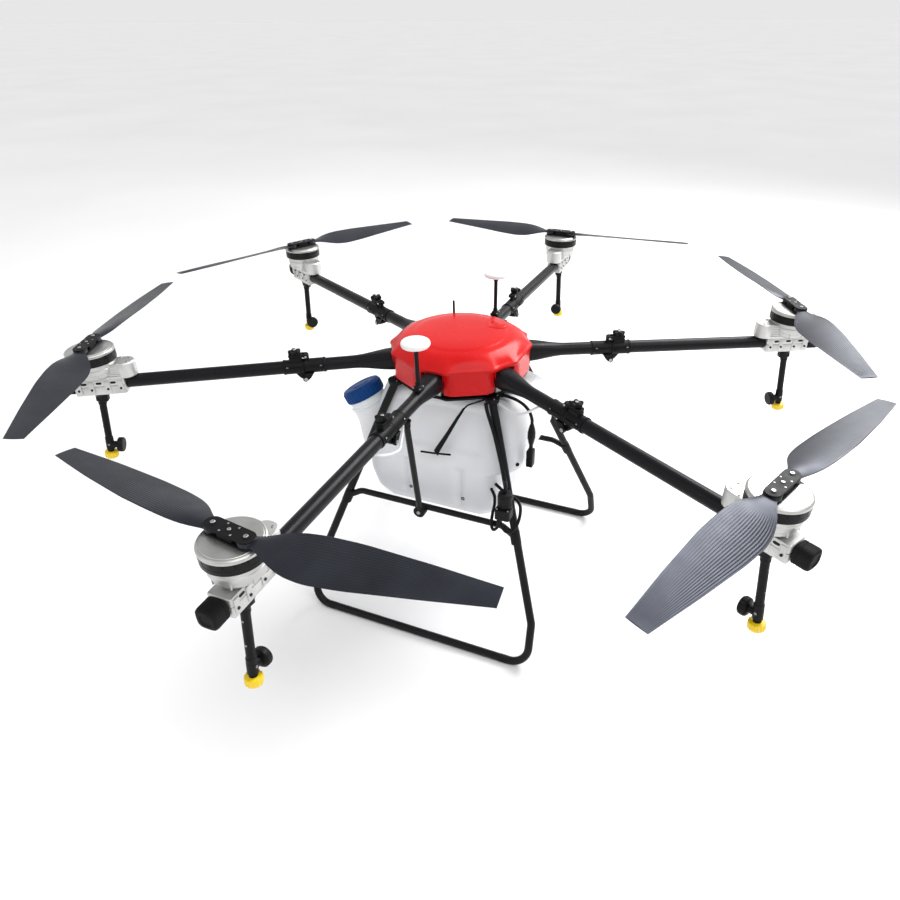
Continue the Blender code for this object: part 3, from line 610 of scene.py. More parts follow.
def motor_mount_mesh():
    """Cast clamp, controller housing with its fins, flared base and the stator."""
    mount = Piece("motor_mount_look")
    for low, high in ((-19.5, -0.4), (0.4, 16)):
        mount.add(round_box((742, -20.5, low), (850, 20.5, high), 3), CAST)
    for x in (752, 779, 813, 840):
        for side in (-1, 1):
            mount.add(round_box((x - 5.8, -1.2, -15), (x + 5.8, 1.8, 12), 1.2), CAST,
                      shift(y=side * 20.5))
            face = shift(x, side * 22.2, -6) @ turn(-side * pi / 2, "X")
            mount.add(lathe([(2.6, 0.0), (2.6, 1.2)], 14), BAND, face)
    for x in (766, 796, 827):
        for side in (-1, 1):
            slot = plate(stadium(6, 2.6), 0.0, 0.8, 0.2)
            mount.add(slot, BAND, shift(x, side * 20.4, 8) @ turn(-side * pi / 2, "X"))
    body = [(737 - 22.2 * cos(radians(a)), 22.2 * sin(radians(a))) for a in range(-90, 91, 15)]
    body += [(818, 22.5), (818, -22.5)]
    mount.add(plate(body, 15.4, 49.6, 2.2), CAST)
    for k in range(6):
        z = 20.5 + 4.4 * k
        for side in (-1, 1):
            mount.add(round_box((745, -1, z), (775, 1.2, z + 1.8), 0.4, 1), CAST, shift(y=side * 22.5))
    for x, y in ((728, 10), (728, -10), (748, 16.5), (748, -16.5)):
        mount.screw(2.4, 1.6, shift(x, y, 49.6), 16)
    base = [(30, 19), (33, 19.6), (38.5, 24), (40.5, 26.8), (41.2, 29), (41.2, 33), (42.8, 34.5),
            (43.6, 36.5), (43.6, 44), (42.8, 44.8), (42.8, 45.8), (43.8, 46.6), (44, 54), (43, 54.7),
            (0, 54.8)]
    mount.add(lathe(base, 64), CAST, shift(MOTOR_RADIUS))
    for k in range(8):
        web = turn(2 * pi * (k + 0.5) / 8) @ shift(41.2)
        mount.add(round_box((-6, -1.6, 24), (1.2, 1.6, 35), 0.8, 1), CAST, shift(MOTOR_RADIUS) @ web)
    mount.add(lathe([(40.5, 53), (40.5, 72.8)], 48), BAND, shift(MOTOR_RADIUS))
    return mount.mesh()


def nozzle_mesh():
    """Elbow flange, pole, diaphragm valve and fluted spray cap."""
    nozzle = Piece("nozzle_look")
    seat = shift(806, 0, -18.5) @ turn(-radians(8), "Y")
    flange = lobed(48, lambda angle: 15 * (1 + 0.16 * cos(3 * angle)))
    nozzle.add(plate(flange, -7.5, -3, 1), BLACK, seat)
    nozzle.add(lathe([(8.6, -28), (9.4, -14), (13.2, -6.8), (0, -6)], 32), BLACK, seat)
    nozzle.add(round_box((-15, -9.2, -23), (10, 9.2, -6), 3.2), BLACK, seat)
    for z in (-46, -92):
        nozzle.screw(1.8, 1.2, seat @ shift(7.4, 0, z) @ turn(pi / 2, "Y"), 12)
    for k in range(3):
        spot = turn(2 * pi * k / 3 + pi / 3) @ shift(10.8, 0, -7.5) @ turn(pi, "X")
        nozzle.screw(2, 1.4, seat @ spot, 12)
    pole = [(8.8, -128), (8.8, -120), (7.6, -118.8), (7.6, -33), (8.8, -32), (8.8, -24)]
    nozzle.add(lathe(pole, 28), BLACK, seat)
    body = [(7.2, -156), (7.2, -151), (9, -149.5), (9, -129), (7.8, -127.5), (7.8, -125)]
    nozzle.add(lathe(body, 28), BLACK, seat)
    valve = seat @ shift(0, 0, -139) @ turn(-pi / 2, "Y")
    nozzle.add(lathe([(7.8, 0), (7.8, 16.5), (15.2, 18), (16.4, 19.2), (16.4, 29), (15.2, 30.8),
                      (10, 31.2), (0, 30.6)], 36), BLACK, valve)
    for k in range(18):
        grip = valve @ turn(2 * pi * k / 18) @ shift(16.2)
        nozzle.add(round_box((-0.8, -0.9, 19.6), (0.8, 0.9, 28.6), 0.4, 1), BLACK, grip)
    for side in (1, -1):
        cheek = seat @ shift(0, side * 7.8, -136) @ turn(-side * pi / 2, "X")
        nozzle.screw(2.4, 1.6, cheek, 12)
    flutes = []
    for z, reach, ridge in ((-156.5, 11, 0), (-157.5, 13.5, 1.3), (-169, 13.9, 1.3),
                            (-171.2, 13, 1.3), (-172, 10, 0)):
        ring = lobed(96, lambda angle: reach + ridge * (0.5 + 0.5 * cos(16 * angle)))
        flutes.append([(x, y, z) for x, y in ring])
    nozzle.add(loft(flutes), YELLOW, seat)
    nozzle.add(lathe([(3, -176.6), (7.2, -175.2), (9, -171.6), (0, -171)], 28), YELLOW, seat)
    nozzle.add(lathe([(2, -176.9), (2.2, -176), (0, -175.5)], 14), STEEL, seat)
    return nozzle.mesh()


def rotor_mesh():
    """Bell with its dark band and bright lid, and the blade clamp with all its bolts."""
    rotor = Piece("rotor_look")
    band = [(44.8, 56), (48.8, 56), (49.4, 56.8), (49.4, 64), (48.9, 64.4), (48.9, 65.4), (49.4, 65.8),
            (49.4, 75.2), (44.8, 75.2)]
    count = 72
    rings = [[(r * c, r * s, z) for c, s in circle(count)] for r, z in band]
    points = [p for ring in rings for p in ring]
    faces = [tuple(k % len(points) for k in face) for face in ring_faces(len(band) + 1, count)]
    rotor.add((points, faces), BAND)
    top = BELL_TOP
    lid = [(49.4, 75.3), (50, 76), (50, top - 3.6), (49.4, top - 2.6), (47.2, top - 0.9),
           (46.2, top - 0.6), (45.6, top - 1), (44.6, top - 1), (43.8, top - 0.3), (40, top)]
    rotor.add(lathe(lid, 72), BELL)
    for k in range(18):
        notch = turn(2 * pi * k / 18) @ shift(49.7)
        rotor.add(round_box((-1, -2.2, 67.2), (-0.1, 2.2, 72.8), 0.4, 1), BLACK, notch)
    root_low = BLADE_Z - 4
    root_high = BLADE_Z + 4
    rotor.add(plate(stadium(46, 14.5), top - 1.2, root_low, 0.9), BLACK)
    rotor.add(round_box((-15, -12.5, root_low - 1), (15, 12.5, root_high + 1), 2.4), BLACK)
    rotor.add(plate(stadium(45.8, 13.4), root_high, root_high + 3, 0.9), BLACK)
    bolt_z = root_high + 2.8
    for side in (-1, 1):
        x = side * BLADE_PIVOT
        rotor.add(lathe([(4, root_low - 1), (4, bolt_z)], 20), STEEL, shift(x))
        rotor.add(lathe([(6.6, bolt_z - 0.5), (6.6, bolt_z + 0.5), (0, bolt_z + 0.6)], 24), BLACK,
                  shift(x))
        rotor.screw(3.6, 2, shift(x, 0, bolt_z + 0.3), 20)
        for y in (-8.5, 8.5):
            rotor.screw(1.6, 1, shift(side * 10.5, y, bolt_z), 12)
    rotor.screw(3, 1.6, shift(0, 0, bolt_z), 20)
    return rotor.mesh()


STATIONS = (  # distance out, leading half, trailing half, thickness, pitch in degrees
    (4, 11, 11, 6.8, 0.0), (19, 14, 15, 6.8, 0.0),
    (45, 25, 30, 6.4, 10.0), (72, 31, 40.5, 6, 15.0),
    (105, 33.5, 44.5, 5.4, 16.0), (160, 33.5, 41.5, 4.7, 14.0),
    (260, 26.5, 30, 3.4, 10.0), (357, 16.5, 16.5, 2.4, 7.0))


def at_station(out):
    """Blade section at a distance from the bolt, eased between the listed ones."""
    for low, high in zip(STATIONS, STATIONS[1:]):
        if out <= high[0]:
            t = (out - low[0]) / (high[0] - low[0])
            return [a + (b - a) * t for a, b in zip(low, high)]
    return list(STATIONS[-1])


def blade_mesh(spin):
    """Blade with fine ridges along its length, an aerofoil section and a squared tip."""
    across, along = 90, 40
    ribs = 18
    blade = Piece(f"blade_look_{'left' if spin > 0 else 'right'}")
    outs = [5.5 + (356.6 - 5.5) * k / (along - 1) for k in range(along)]
    sections = []
    for k, out in enumerate(outs):
        near = [at_station(min(max(out + d, 4), 357)) for d in (-10, -5, 0, 5, 10)]
        mean = [sum(n[c] for n in near) / 5 for c in range(5)] if 20 < out < 345 else at_station(out)
        sections.append((out, *mean[1:]))
    rings = []
    for out, lead, trail, thick, pitch in sections:
        fade = min(1.0, max(0.0, (out - 40) / 30)) * min(1.0, (356.6 - out) / 8)
        rise = radians(pitch)
        ring = []
        for face in (1, -1):
            for k in range(across):
                f = k / across if face > 0 else 1 - k / across
                t = -trail + (lead + trail) * f
                from_edge = f / 0.55 if f < 0.55 else (1 - f) / 0.45
                body = 0.5 + (thick / 2 - 0.5) * sin(pi / 2 * min(from_edge, 1.0))
                edge = min(1.0, min(f, 1 - f) * 14)
                ridge = 0.15 * cos(2 * pi * ribs * f) * fade * edge
                h = face * (body + ridge)
                ring.append((out, spin * (t * cos(rise) - h * sin(rise)),
                             t * sin(rise) + h * cos(rise)))
        rings.append(ring)
    blade.add(loft(rings), BLADE)
    blade.add(lathe([(13.4, -3.7), (14, -3.1), (14, 3.1), (13.4, 3.7)], 32), BLADE)
    return blade.mesh(50)


def mast_mesh():
    """Clamp on the arm, slim mast, and the receiver's dished white housing."""
    mast = Piece("mast_look")
    base = shift(MAST_X, 0, 18.2)
    mast.add(round_box((-11, -10.5, -2), (11, 10.5, 4.6), 3), BLACK, base)
    mast.add(lathe([(9.2, 4), (9.2, 6.2), (6, 9.8), (5.8, 15)], 28), BLACK, base)
    for x in (-7.8, 7.8):
        for y in (-7.2, 7.2):
            mast.screw(1.8, 1.2, base @ shift(x, y, 4.6), 12)
    mast.add(lathe([(4.6, 10), (4.6, 96)], 28), CARBON, base)
    mast.add(lathe([(6.2, 88), (6.6, 89), (7.8, 96.5), (0, 97)], 28), BLACK, base)
    dish = [(0, 96.8), (15, 96.6), (26.2, 97.4), (28.4, 98.4), (29.6, 100.4), (29.9, 102.2),
            (29.9, 103), (29.3, 103.4), (29.3, 104), (29.8, 104.4), (29, 106.4), (27, 108), (20, 109.2),
            (19.6, 108.8), (18.8, 108.8), (18.4, 109.5), (11, 110.4), (0, 110.8)]
    mast.add(lathe(dish, 64), WHITE, base)
    return mast.mesh(28)


def hose_line(i):
    """Hose that leaves an arm's tube before the fold joint and goes back in behind it."""
    route = [(296, 0.0, -14), (300, 1, -20.5), (312, 6, -31), (334, 13, -40), (356, 20.5, -43),
             (379, 15, -40), (401, 6, -31), (415, 1, -20.5), (419, 0.0, -14)]
    return [arm_matrix(i) @ p for p in smooth(route, 6)]


inner_arm = inner_arm_mesh()
outer_arm = outer_arm_mesh()
latch = latch_mesh()
mount = motor_mount_mesh()
nozzle = nozzle_mesh()
rotor = rotor_mesh()
blades = {1: blade_mesh(1), -1: blade_mesh(-1)}
mast = mast_mesh()

for i in range(ARM_COUNT):
    n = i + 1
    at = arm_matrix(i)
    show(f"inner_arm_look_{n}", inner_arm, at, "airframe", "carbon", f"inner_arm_{n}")
    show(f"outer_arm_look_{n}", outer_arm, at, f"arm_{n}", "carbon", f"outer_arm_{n}")
    show(f"latch_look_{n}", latch, at, f"latch_{n}", "black_plastic", f"latch_{n}")
    show(f"motor_mount_look_{n}", mount, at, f"arm_{n}", "cast_aluminium", f"motor_mount_{n}")
    show(f"nozzle_look_{n}", nozzle, at, f"arm_{n}", "nozzle_yellow", f"nozzle_{n}")
    hub = at @ shift(MOTOR_RADIUS) @ turn(radians(ROTOR_REST[i]))
    show(f"rotor_look_{n}", rotor, hub, f"rotor_{n}", "bell", f"rotor_{n}")
    spin = 1 if i % 2 == 0 else -1
    for letter, side, rest in (("a", 1, BLADE_REST_A[i]), ("b", -1, 180 + BLADE_REST_B[i])):
        bolt = hub @ shift(side * BLADE_PIVOT, 0, BLADE_Z) @ turn(radians(rest))
        show(f"blade_look_{n}{letter}", blades[spin], bolt, f"blade_{n}{letter}", "blade",
             f"blade_{n}{letter}")
    if i in (0, 3):
        name = "mast_right" if i == 0 else "mast_left"
        show(f"{name}_look", mast, at, "airframe", "receiver_white", name)
    if i == 0:
        loop = Piece("arm_hose").add(tube(hose_line(i), 2.9, 12), HOSE).mesh()
        hose = make_object(f"arm_hose_{n}", loop)
        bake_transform(hose)


# ---------------------------------------------------------------- canopy
def bend_min(a, b, soft):
    """Smaller of two values, with a soft corner where they meet."""
    h = max(0.0, min(1.0, 0.5 + (b - a) / (2 * soft)))
    return b * (1 - h) + a * h - soft * h * (1 - h)


def ease(value, low, high):
    t = max(0.0, min(1.0, (value - low) / (high - low)))
    return t * t * (3 - 2 * t)


def rim_radius(angle):
    """Outline of the cover: a flat panel between the arms, and a lip set back over each arm."""
    sixth = pi / 3
    from_arm = abs((angle + sixth / 2) % sixth - sixth / 2)
    from_panel = sixth / 2 - from_arm
    panel = bend_min(156 / cos(from_panel), 164 / cos(from_arm), 3)
    return panel - 6 * (1 - ease(from_arm, radians(4.5), radians(13.5)))


def canopy_mesh():
    cover = Piece("canopy_look")
    sixth = pi / 3
    half_notch = 25.8
    angles = []
    for side in range(ARM_COUNT):
        edge = half_notch / 162
        marks = [-edge, -edge + 0.002, edge - 0.002, edge]
        marks += [-edge + 0.002 + (2 * edge - 0.004) * k / 8 for k in range(1, 8)]
        marks += [edge + (sixth - 2 * edge) * k / 26 for k in range(1, 26)]
        angles += [side * sixth + m for m in marks]
    angles.sort()

    def column(angle, wall):
        from_arm = (angle + sixth / 2) % sixth - sixth / 2
        from_panel = sixth / 2 - abs(from_arm)
        over_arm = abs(from_arm) < half_notch / 162 - 0.001
        rim = rim_radius(angle) - wall
        side_strip = 8 * max(0.0, min(1.0, (from_panel - radians(13.2)) / radians(7.4)))
        foot = 27.2 if over_arm else -22
        rows = [(12, 65.5), (50, 65.2), (75, 64.6), (94, 63.4), (102, 62.6), (105, 61.8), (108, 60.8),
                (112, 60.2), (118, 59.4)]
        shoulder = 127
        rows += [(shoulder, 57.2), (shoulder + 4.5, 54.8), (rim * 0.3 + 96.6, 48),
                 (rim * 0.7 + 39.8, 40.2), (rim - 4.5, 37.2), (rim - 1.5, 35.4), (rim - 0.2, 33.4),
                 (rim, 31.5)]
        rows = [(r - (wall if r < shoulder else 0.0), z) for r, z in rows]
        lower = rim - 1.2 - (0 if over_arm else side_strip)
        if over_arm:
            rows += [(rim - 0.2, 30.6), (rim - 0.6, 29.8), (rim - 1, 28.8), (rim - 1.2, foot + 0.4),
                     (rim - 1.2, foot)]
        else:
            rows += [(rim - 0.8, 29.6), (lower, 27.8), (lower, 4), (lower + 0.6, -19.5),
                     (lower + 0.6, foot)]
        out = []
        for r, z in rows:
            low = max(foot, z - wall) if z > foot else foot
            out.append((r * cos(angle), r * sin(angle), low))
        return out

    outer = [column(a, 0.0) for a in angles]
    inner = [column(a, 3) for a in angles]
    count = len(angles)
    rows = len(outer[0])
    points = [p for col in outer for p in col] + [p for col in inner for p in col]
    faces = []
    offset = count * rows
    for k in range(count):
        j = (k + 1) % count
        for r in range(rows - 1):
            faces.append((k * rows + r, k * rows + r + 1, j * rows + r + 1, j * rows + r))
            faces.append((offset + k * rows + r, offset + j * rows + r, offset + j * rows + r + 1,
                          offset + k * rows + r + 1))
        faces.append((k * rows + rows - 1, offset + k * rows + rows - 1, offset + j * rows + rows - 1,
                      j * rows + rows - 1))
    faces.append(tuple(k * rows for k in range(count)))
    faces.append(tuple(offset + k * rows for k in range(count))[::-1])
    cover.add((points, faces), RED)
    for side in range(ARM_COUNT):
        slope = turn(radians(30 + 60 * side)) @ shift(138.5, 0, 48.2) @ turn(radians(38), "Y")
        cover.add(lathe([(4.6, -2), (4.6, 0.8), (3.8, 1.4), (2.2, 1.4), (1.6, 0.6)], 24), RED, slope)
    bump = [(15, -3), (15, 1.2), (14, 2), (12, 2.4), (0, 2.6)]
    oval = Matrix.Diagonal((1.0, 1.5, 1.0, 1.0))
    cover.add(lathe(bump, 40), RED, shift(-56, 68, 63) @ turn(radians(40)) @ oval)
    return cover.mesh(32)


show("canopy_look", canopy_mesh(), DECK, "airframe", "canopy_red", "canopy")


# ---------------------------------------------------------------- centre frame and avionics
def centre_frame_mesh():
    middle = Piece("centre_frame_look")

    def outline(reach):
        return lobed(144, lambda angle: reach * rim_radius(angle) / 166.3)

    middle.add(plate(outline(158.5), -36, -31, 0.8), BLACK)
    middle.add(plate(outline(112), 27.5, 31, 0.6), BLACK)
    for side in range(ARM_COUNT):
        panel = turn(radians(30 + 60 * side))
        middle.add(lathe([(7.5, -34), (7.5, 29)], 24), CAST, panel @ shift(96))
        middle.screw(4, 2.4, panel @ shift(96, 0, -36) @ turn(pi, "X"))
        for y in (-24, 24):
            middle.screw(2.6, 1.8, panel @ shift(132, y, -36) @ turn(pi, "X"), 16)
        arm = turn(radians(60 * side))
        middle.add(round_box((108, -14, -35), (146, 14, -16.9), 2.4), CAST, arm)
        for x in (114, 138):
            middle.screw(2.6, 1.8, arm @ shift(x, 0, -36) @ turn(pi, "X"), 16)
    for x in (-1, 1):
        for y in (-1, 1):
            lug = shift(x * 105, y * 118)
            middle.add(lathe([(16.8, -36), (17.5, -35.3), (17.5, -31.7), (16.8, -31)], 36), BLACK, lug)
            for turned_by in (40, 140, 250):
                spot = turn(radians(turned_by)) @ shift(13.2, 0, -31)
                middle.screw(2, 1.4, lug @ spot, 12)
    middle.add(round_box((60, 100, -45.5), (82, 118, -35), 2), BLACK)
    boot = [(6.4, 117), (6.4, 119.6), (5.6, 120.4), (5.6, 121.6), (5.8, 122.4), (5, 124), (5, 125.2),
            (5.3, 126), (4.6, 127.8), (4, 132), (0, 132.1)]
    middle.add(along_y(lathe(boot, 24)), RUBBER, shift(71, 0, -41.2))
    return middle.mesh()


def avionics_mesh():
    unit = Piece("avionics_look")
    unit.add(round_box((-50, -30, 31.3), (60, 30, 33.3), 4), BLACK)
    unit.add(round_box((58, -9, 31.3), (AERIAL_R + 4, 9, 33.3), 3), BLACK)
    unit.add(round_box((-45, -24, 32.8), (45, 24, 48), 3), BLACK)
    for k in range(7):
        unit.add(round_box((-30 + 10 * k, -18, 47.4), (-26 + 10 * k, 18, 48.8), 0.8, 1), BLACK)
    unit.add(lathe([(4.6, 32.8), (4.6, 44), (3.4, 46), (3, 48), (2.6, 82.5), (2, 83.8), (0, 84)], 24),
             BLACK, shift(AERIAL_R))
    return unit.mesh()


show("centre_frame_look", centre_frame_mesh(), DECK, "airframe", "black_plastic", "centre_frame")
show("avionics_look", avionics_mesh(), DECK @ turn(AERIAL_TURN), "airframe", "black_plastic",
     "avionics")


# ---------------------------------------------------------------- tank and cap
TANK_LEVELS = (  # rear, front, half width, corner radius, height from the deck
    (-138, 126, 116, 50, -342), (-160, 145, 138, 45, -335),
    (-176, 156, 150, 40, -310), (-190, 160, 152, 40, -265),
    (-190, 160, 152, 40, -208), (-186, 190, 146, 40, -196),
    (-184, 197, 140, 40, -180), (-176, 197, 112, 40, -100),
    (-162, 186, 97, 40, -60), (-142, 166, 82, 40, -48))


def tank_level(z):
    for low, high in zip(TANK_LEVELS, TANK_LEVELS[1:]):
        if z <= high[4]:
            t = max(0.0, (z - low[4]) / (high[4] - low[4]))
            return [a + (b - a) * t for a, b in zip(low, high)]
    return list(TANK_LEVELS[-1])


def tank_mesh():
    tank = Piece("tank_look")
    low, high, rows = -342, -48, 88
    straight, curve = 26, 8
    rings = []
    for r in range(rows + 1):
        z = low + (high - low) * r / rows
        near = [tank_level(min(max(z + d, low), high)) for d in (-3, 0, 3)]
        rear, front, side, corner = [sum(n[c] for n in near) / 3 for c in range(4)]
        rear, front = rear + 0.6, front - 0.6 - 12 * (1 - ease(z, -212, -204))
        x, y, back = side - corner, front - corner, rear + corner
        centres = ((x, y), (-x, y), (-x, back), (x, back))
        ring = []
        for n, (cx, cy) in enumerate(centres):
            for k in range(curve + 1):
                angle = radians(90 * (n + k / curve))
                ring.append([cx + corner * cos(angle), cy + corner * sin(angle)])
            ahead_x, ahead_y = centres[(n + 1) % 4]
            run_x, run_y = ahead_x - cx, ahead_y - cy
            last_x, last_y = ring[-1]
            for k in range(1, straight):
                ring.append([last_x + run_x * k / straight, last_y + run_y * k / straight])
        groove = ease(z, -325, -305) * (1 - ease(z, -215, -200))
        shelf = ease(z, -180, -165) * (1 - ease(z, -85, -70))
        for p in ring:
            if abs(p[0]) > side - corner * 0.3:
                dent = 0.0
                for y in (-78, 57):
                    dent = max(dent, 1 - ease(abs(p[1] - y), 6.05, 10.45))
                panel = ease(p[1], -120, -105) * (1 - ease(p[1], 95, 110))
                p[0] -= (1 if p[0] > 0 else -1) * (7.5 * dent * groove + 7 * panel * shelf)
        rings.append([(x, y, z) for x, y in ring])
    for inset in (0.94, 0.80):
        rings.insert(0, [(x * inset, y * inset, low - 0.1) for x, y, _ in rings[-rows - 1]])
    tank.add(loft(rings), TANK)
    tilt = facing(NECK_AXIS)
    seat = Matrix.Translation(NECK_TOP - NECK_AXIS * 120) @ tilt
    neck = [(56, 0.5), (59.4, 4), (60, 14), (58.8, 26), (55, 42), (50, 58), (46.2, 72), (44.8, 84),
            (44.5, 100), (47, 101), (47.5, 103.5), (47, 106), (44, 107.5), (44, 119.5), (41, 119.8),
            (40.5, 118), (40.5, 90), (0, 88)]
    tank.add(lathe(neck, 64), TANK, seat)
    for side in (-1, 1):
        for y in (65, -70):
            spot = shift(side * 148.5, y, -288) @ turn(side * pi / 2, "Y")
            tank.add(lathe([(7.8, -6), (7.8, 1.4), (6.4, 2.2)], 24), TANK, spot)
            tank.screw(4.4, 3.4, spot, material=BAND)
        spot = shift(side * 124, 186.5, -178) @ turn(side * radians(-38)) @ turn(-pi / 2, "X")
        tank.screw(4.4, 3, spot, material=BAND)
    return tank.mesh(40)


def tank_cap_mesh():
    """Screw cap with a gripped side and a stepped top."""
    cap = Piece("tank_cap_look")
    rings = []
    for reach, z, grip in ((40.5, 0.2, 0), (47, 0.2, 0), (47.8, 1.2, 0), (47.8, 3.4, 0),
                           (47.2, 4.2, 1.4), (47.4, 23.5, 1.4), (47, 25.2, 0), (46.2, 27.8, 0),
                           (44, 30, 0), (40, 31.2, 0), (31, 31.6, 0), (30.2, 30.6, 0), (28, 30.6, 0)):
        ring = lobed(144, lambda angle: reach + grip * max(0.0, cos(36 * angle)))
        rings.append([(x, y, z) for x, y in ring])
    cap.add(loft(rings), BLUE)
    cap.add(lathe([(20, 30), (20, 31.2), (19.4, 31.8), (0, 31.9)], 48), BLUE)
    return cap.mesh()


show("tank_look", tank_mesh(), DECK, "airframe", "tank_white", "tank")
cap_seat = DECK @ shift(*(NECK_TOP + NECK_AXIS * 0.3)) @ facing(NECK_AXIS)
show("tank_cap_look", tank_cap_mesh(), cap_seat, "tank_cap", "cap_blue", "tank_cap")


# ---------------------------------------------------------------- skid frames
def skid_mesh():
    skid = Piece("skid_look")
    top = Vector((105, 0, -36.3))
    base = Vector((303, 0, -600.3))

    def on_frame(y, depth):
        return top + (base - top) * depth + Vector((0, y, 0))

    outline = ((118, 0.004), (141, 0.115), (281, 0.825), (285, 1.0))
    corners = [on_frame(y, d) for y, d in outline] + [on_frame(-y, d) for y, d in reversed(outline)]
    skid.add(tube(rounded(corners, 42), 9.3, 24), COATED)
    cross = [on_frame(y, d) for y, d in ((-214, 0.498), (-180, 0.466), (180, 0.466), (214, 0.498))]
    skid.add(tube(rounded(cross, 30), 7.4, 20), COATED)
    for side in (-1, 1):
        flange = on_frame(side * 118.5, 0.0)
        skid.add(lathe([(15, -6), (15.5, -5.2), (15.5, -0.1)], 36), BLACK, shift(*flange))
        joint = on_frame(side * 214.5, 0.498)
        along = (on_frame(side * 281, 0.825) - on_frame(side * 141, 0.115)).normalized()
        sleeve = lathe([(11.2, -16), (11.8, -14), (11.8, 14), (11.2, 16)], 28)
        skid.add(sleeve, BLACK, shift(*joint) @ facing(along))
        sock = [on_frame(side * y, 1.0) for y in (221, 239)]
        skid.add(tube(sock, 9.4, 24), RUBBER)
    foot = on_frame(-18, 0.466) + Vector((12.5, 0, -6))
    head = Vector((284, 0.0, -20))
    skid.add(tube([foot, head], 6.8, 20), COATED)
    skid.add(along_x(lathe([(13.2, -12.5), (14, -11.5), (14, 7.5), (13.2, 8.5)], 36)), BLACK,
             shift(*foot))
    skid.screw(4.4, 2.4, Matrix.Translation(foot + Vector((8.5, 0, 0))) @ turn(pi / 2, "Y"))
    skid.add(lathe([(8.6, -16), (9.2, -14), (9.2, -2), (11, -1.2), (11, -0.2)], 28), BLACK,
             shift(*head))
    skid.points = [(x, y, max(z, -DECK_HEIGHT)) for x, y, z in skid.points]
    return skid.mesh()


skid = skid_mesh()
show("skid_right_look", skid, DECK, "airframe", "black_plastic", "skid_right")
show("skid_left_look", skid, DECK @ turn(pi), "airframe", "black_plastic", "skid_left")


# ---------------------------------------------------------------- pump, pipework and loose trim
def pump_mesh():
    pump = Piece("pump_look")
    can = [(15, -40), (15.8, -39), (16.2, -38), (16.2, -6), (15.2, -5), (15.2, -3.6), (14.6, -1.2),
           (12, -0.2), (0, -0.1)]
    pump.add(lathe(can, 40), BLACK, shift(207, 189, -200))
    for k in range(3):
        pump.add(lathe([(16.5, -1.3), (16.5, 1.3)], 40), COATED, shift(207, 189, -212 - 8 * k))
    pump.add(round_box((184.5, 182, -232), (195, 196, -215), 2), BLACK)
    pump.add(round_box((196.5, 172, -262), (228, 206, -236), 4), BLACK)
    for x in (201, 223.5):
        for y in (176.5, 201.5):
            pump.screw(2.2, 1.6, shift(x, y, -236), 14)
    for x in (208, 221):
        pump.add(lathe([(3, -16.5), (3.4, -15), (3.4, -11), (4.4, -10), (4.4, 0.0)], 20), BLACK,
                 shift(x, 180, -261))
    pump.add(lathe([(4, 0.0), (4, 6), (2, 8.5), (0, 8.6)], 20), BLACK, shift(207, 189, -200.2))
    return pump.mesh()


def trim_mesh():
    """Feed pipe beside the front leg, hose loops at the pump and the link aerial on the tank."""
    trim = Piece("trim_look")
    feed = smooth([(128, 112, -36.5), (130, 118, -60), (141, 137, -100), (158, 158, -150),
                   (176, 176, -186), (196, 186, -188), (207, 189, -193.5)], 8)
    trim.add(tube(feed, 4.2, 14), BLACK)
    loop = smooth([(208, 180, -272), (208, 181, -286), (212, 192, -300), (216, 208, -296),
                   (213, 219, -278), (200, 222, -258), (180, 215, -246), (162, 196, -243),
                   (150, 166, -240), (139, 147, -238), (124, 128, -237)], 8)
    trim.add(tube(loop, 3.6, 14), BLACK)
    back = smooth([(221, 180, -272), (222, 178, -286), (221, 168, -297), (212, 160, -290),
                   (200, 158, -270), (182, 156, -256), (162, 148, -250), (145, 135, -248),
                   (127, 121, -247)], 8)
    trim.add(tube(back, 3.6, 14), BLACK)
    bar = [(156.5, -36, -177.5), (156, 0, -174.5), (155, 38, -170)]
    trim.add(tube(smooth(bar, 6), 2.4, 12), BLACK)
    stem = smooth([(155.8, 2, -173.5), (152, 8, -160), (144, 24, -130), (132, 43, -92), (123, 58, -64)],
                  8)
    widths = [10.5 - 6.8 * k / (len(stem) - 1) for k in range(len(stem))]
    rings = []
    for point, width in zip(stem, widths):
        out = Vector((0.93, 0.0, 0.37)).normalized() * 2.2
        side = Vector((-0.25, 0.55, 0.55)).cross(out).normalized() * width * 0.75
        rings.append([point + side * c + out * s for c, s in circle(16)])
    trim.add(loft(rings), BLACK)
    thread = smooth([(123.2, 57.5, -65), (120, 68, -54), (112, 86, -47), (102, 100, -42),
                     (98, 106, -35)], 8)
    trim.add(tube(thread, 1.9, 10), BLACK)
    return trim.mesh()


def supply_hose_mesh():
    """Clear hose from under the hub to the arm beside the battery lead."""
    end = arm_matrix(1) @ Vector((285, 4, -15))
    end.z -= DECK_HEIGHT
    start = Vector((100, 126, -36))
    middle = start.lerp(end, 0.5)
    route = [start, start + Vector((4, 10, -11)), middle + Vector((6, 0, -25)),
             end + Vector((-8, -16, -6)), end]
    return Piece("supply_hose").add(tube(smooth(route, 10), 2.9, 14), HOSE).mesh()


show("pump_look", pump_mesh(), DECK, "airframe", "black_plastic", "pump")
show("trim_look", trim_mesh(), DECK, "airframe", "black_plastic")
show("supply_hose", supply_hose_mesh(), DECK, "airframe", "tank_white")


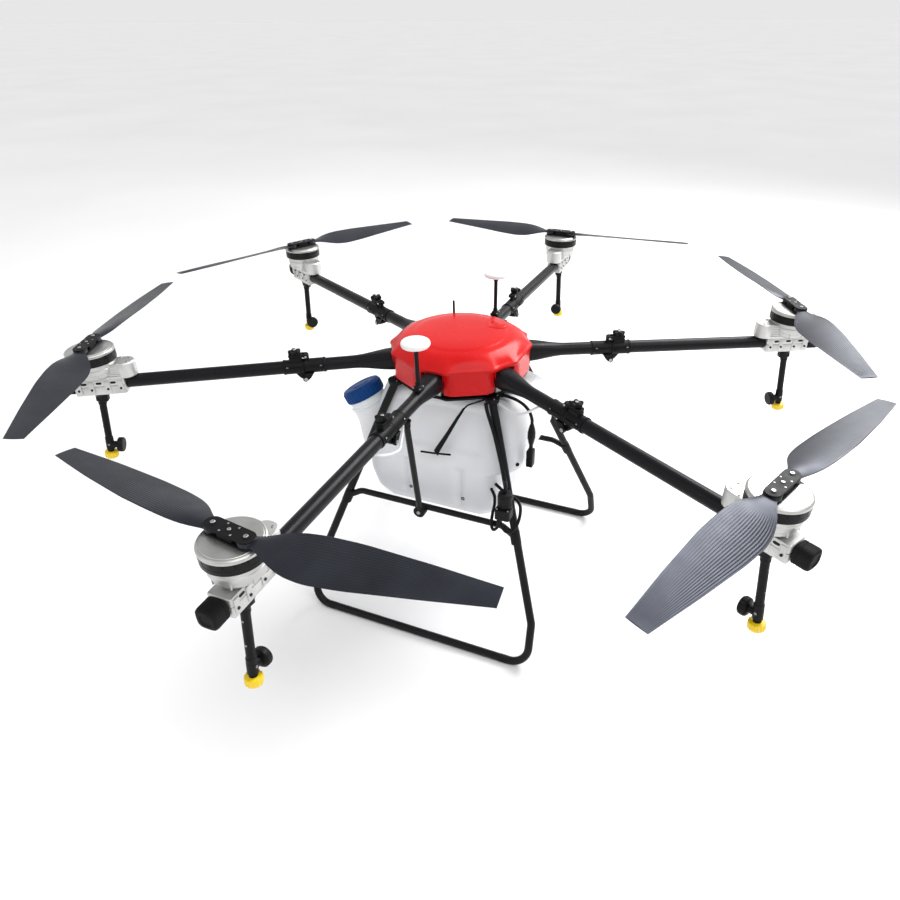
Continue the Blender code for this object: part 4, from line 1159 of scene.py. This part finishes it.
# ---------------------------------------------------------------- floor and light
def make_floor():
    s = Shader("look_floor", 0.6)
    s.use("Base Color", s.colours(s.noise(0.8, 3.0), (0.86, 0.86, 0.86), (0.90, 0.90, 0.90)))
    s.bump(s.noise(60.0, 2.0), 0.03, 0.001)
    data = bpy.data.meshes.new("floor")
    reach = 90.0
    data.from_pydata([(-reach, -reach, 0), (reach, -reach, 0), (reach, reach, 0), (-reach, reach, 0)],
                     [], [(0, 1, 2, 3)])
    data.materials.append(s.material)
    floor = make_object("floor", data)
    floor.location.z = -0.0005


def add_light(name, place, target, size, power):
    data = bpy.data.lights.new(name, "AREA")
    data.shape = "DISK"
    data.size = size
    data.energy = power
    lamp = make_object(name, data)
    lamp.location = place
    lamp.rotation_euler = (Vector(target) - Vector(place)).to_track_quat("-Z", "Y").to_euler()


make_floor()
add_light("fill", (2.8, -1.8, 2.2), (0, 0, 0.5), 2.6, 12)
add_light("rim", (-2.6, 1.4, 3.25), (0.2, 0.4, 0.6), 2.8, 200)
sun_data = bpy.data.lights.new("sun", "SUN")
sun_data.energy = 1.25
sun_data.angle = radians(50)
sun = make_object("sun", sun_data)
sun.rotation_euler = Vector((-0.30, -0.55, -0.90)).to_track_quat("-Z", "Y").to_euler()
world = bpy.data.worlds.new("studio")
world.use_nodes = True
sky = world.node_tree
way = sky.nodes.new("ShaderNodeTexCoord")
split = sky.nodes.new("ShaderNodeSeparateXYZ")
ramp = sky.nodes.new("ShaderNodeValToRGB")
ramp.color_ramp.elements[0].position = 0.005
ramp.color_ramp.elements[0].color = (0.80, 0.80, 0.80, 1)
ramp.color_ramp.elements[1].position = 0.55
ramp.color_ramp.elements[1].color = (0.56, 0.56, 0.57, 1)
ramp.color_ramp.elements.new(0.10).color = (0.93, 0.93, 0.93, 1)
sky.links.new(way.outputs["Generated"], split.inputs["Vector"])
sky.links.new(split.outputs["Z"], ramp.inputs["Fac"])
sky.links.new(ramp.outputs["Color"], sky.nodes["Background"].inputs["Color"])
bpy.context.scene.world = world
bpy.context.scene.view_settings.view_transform = "Standard"
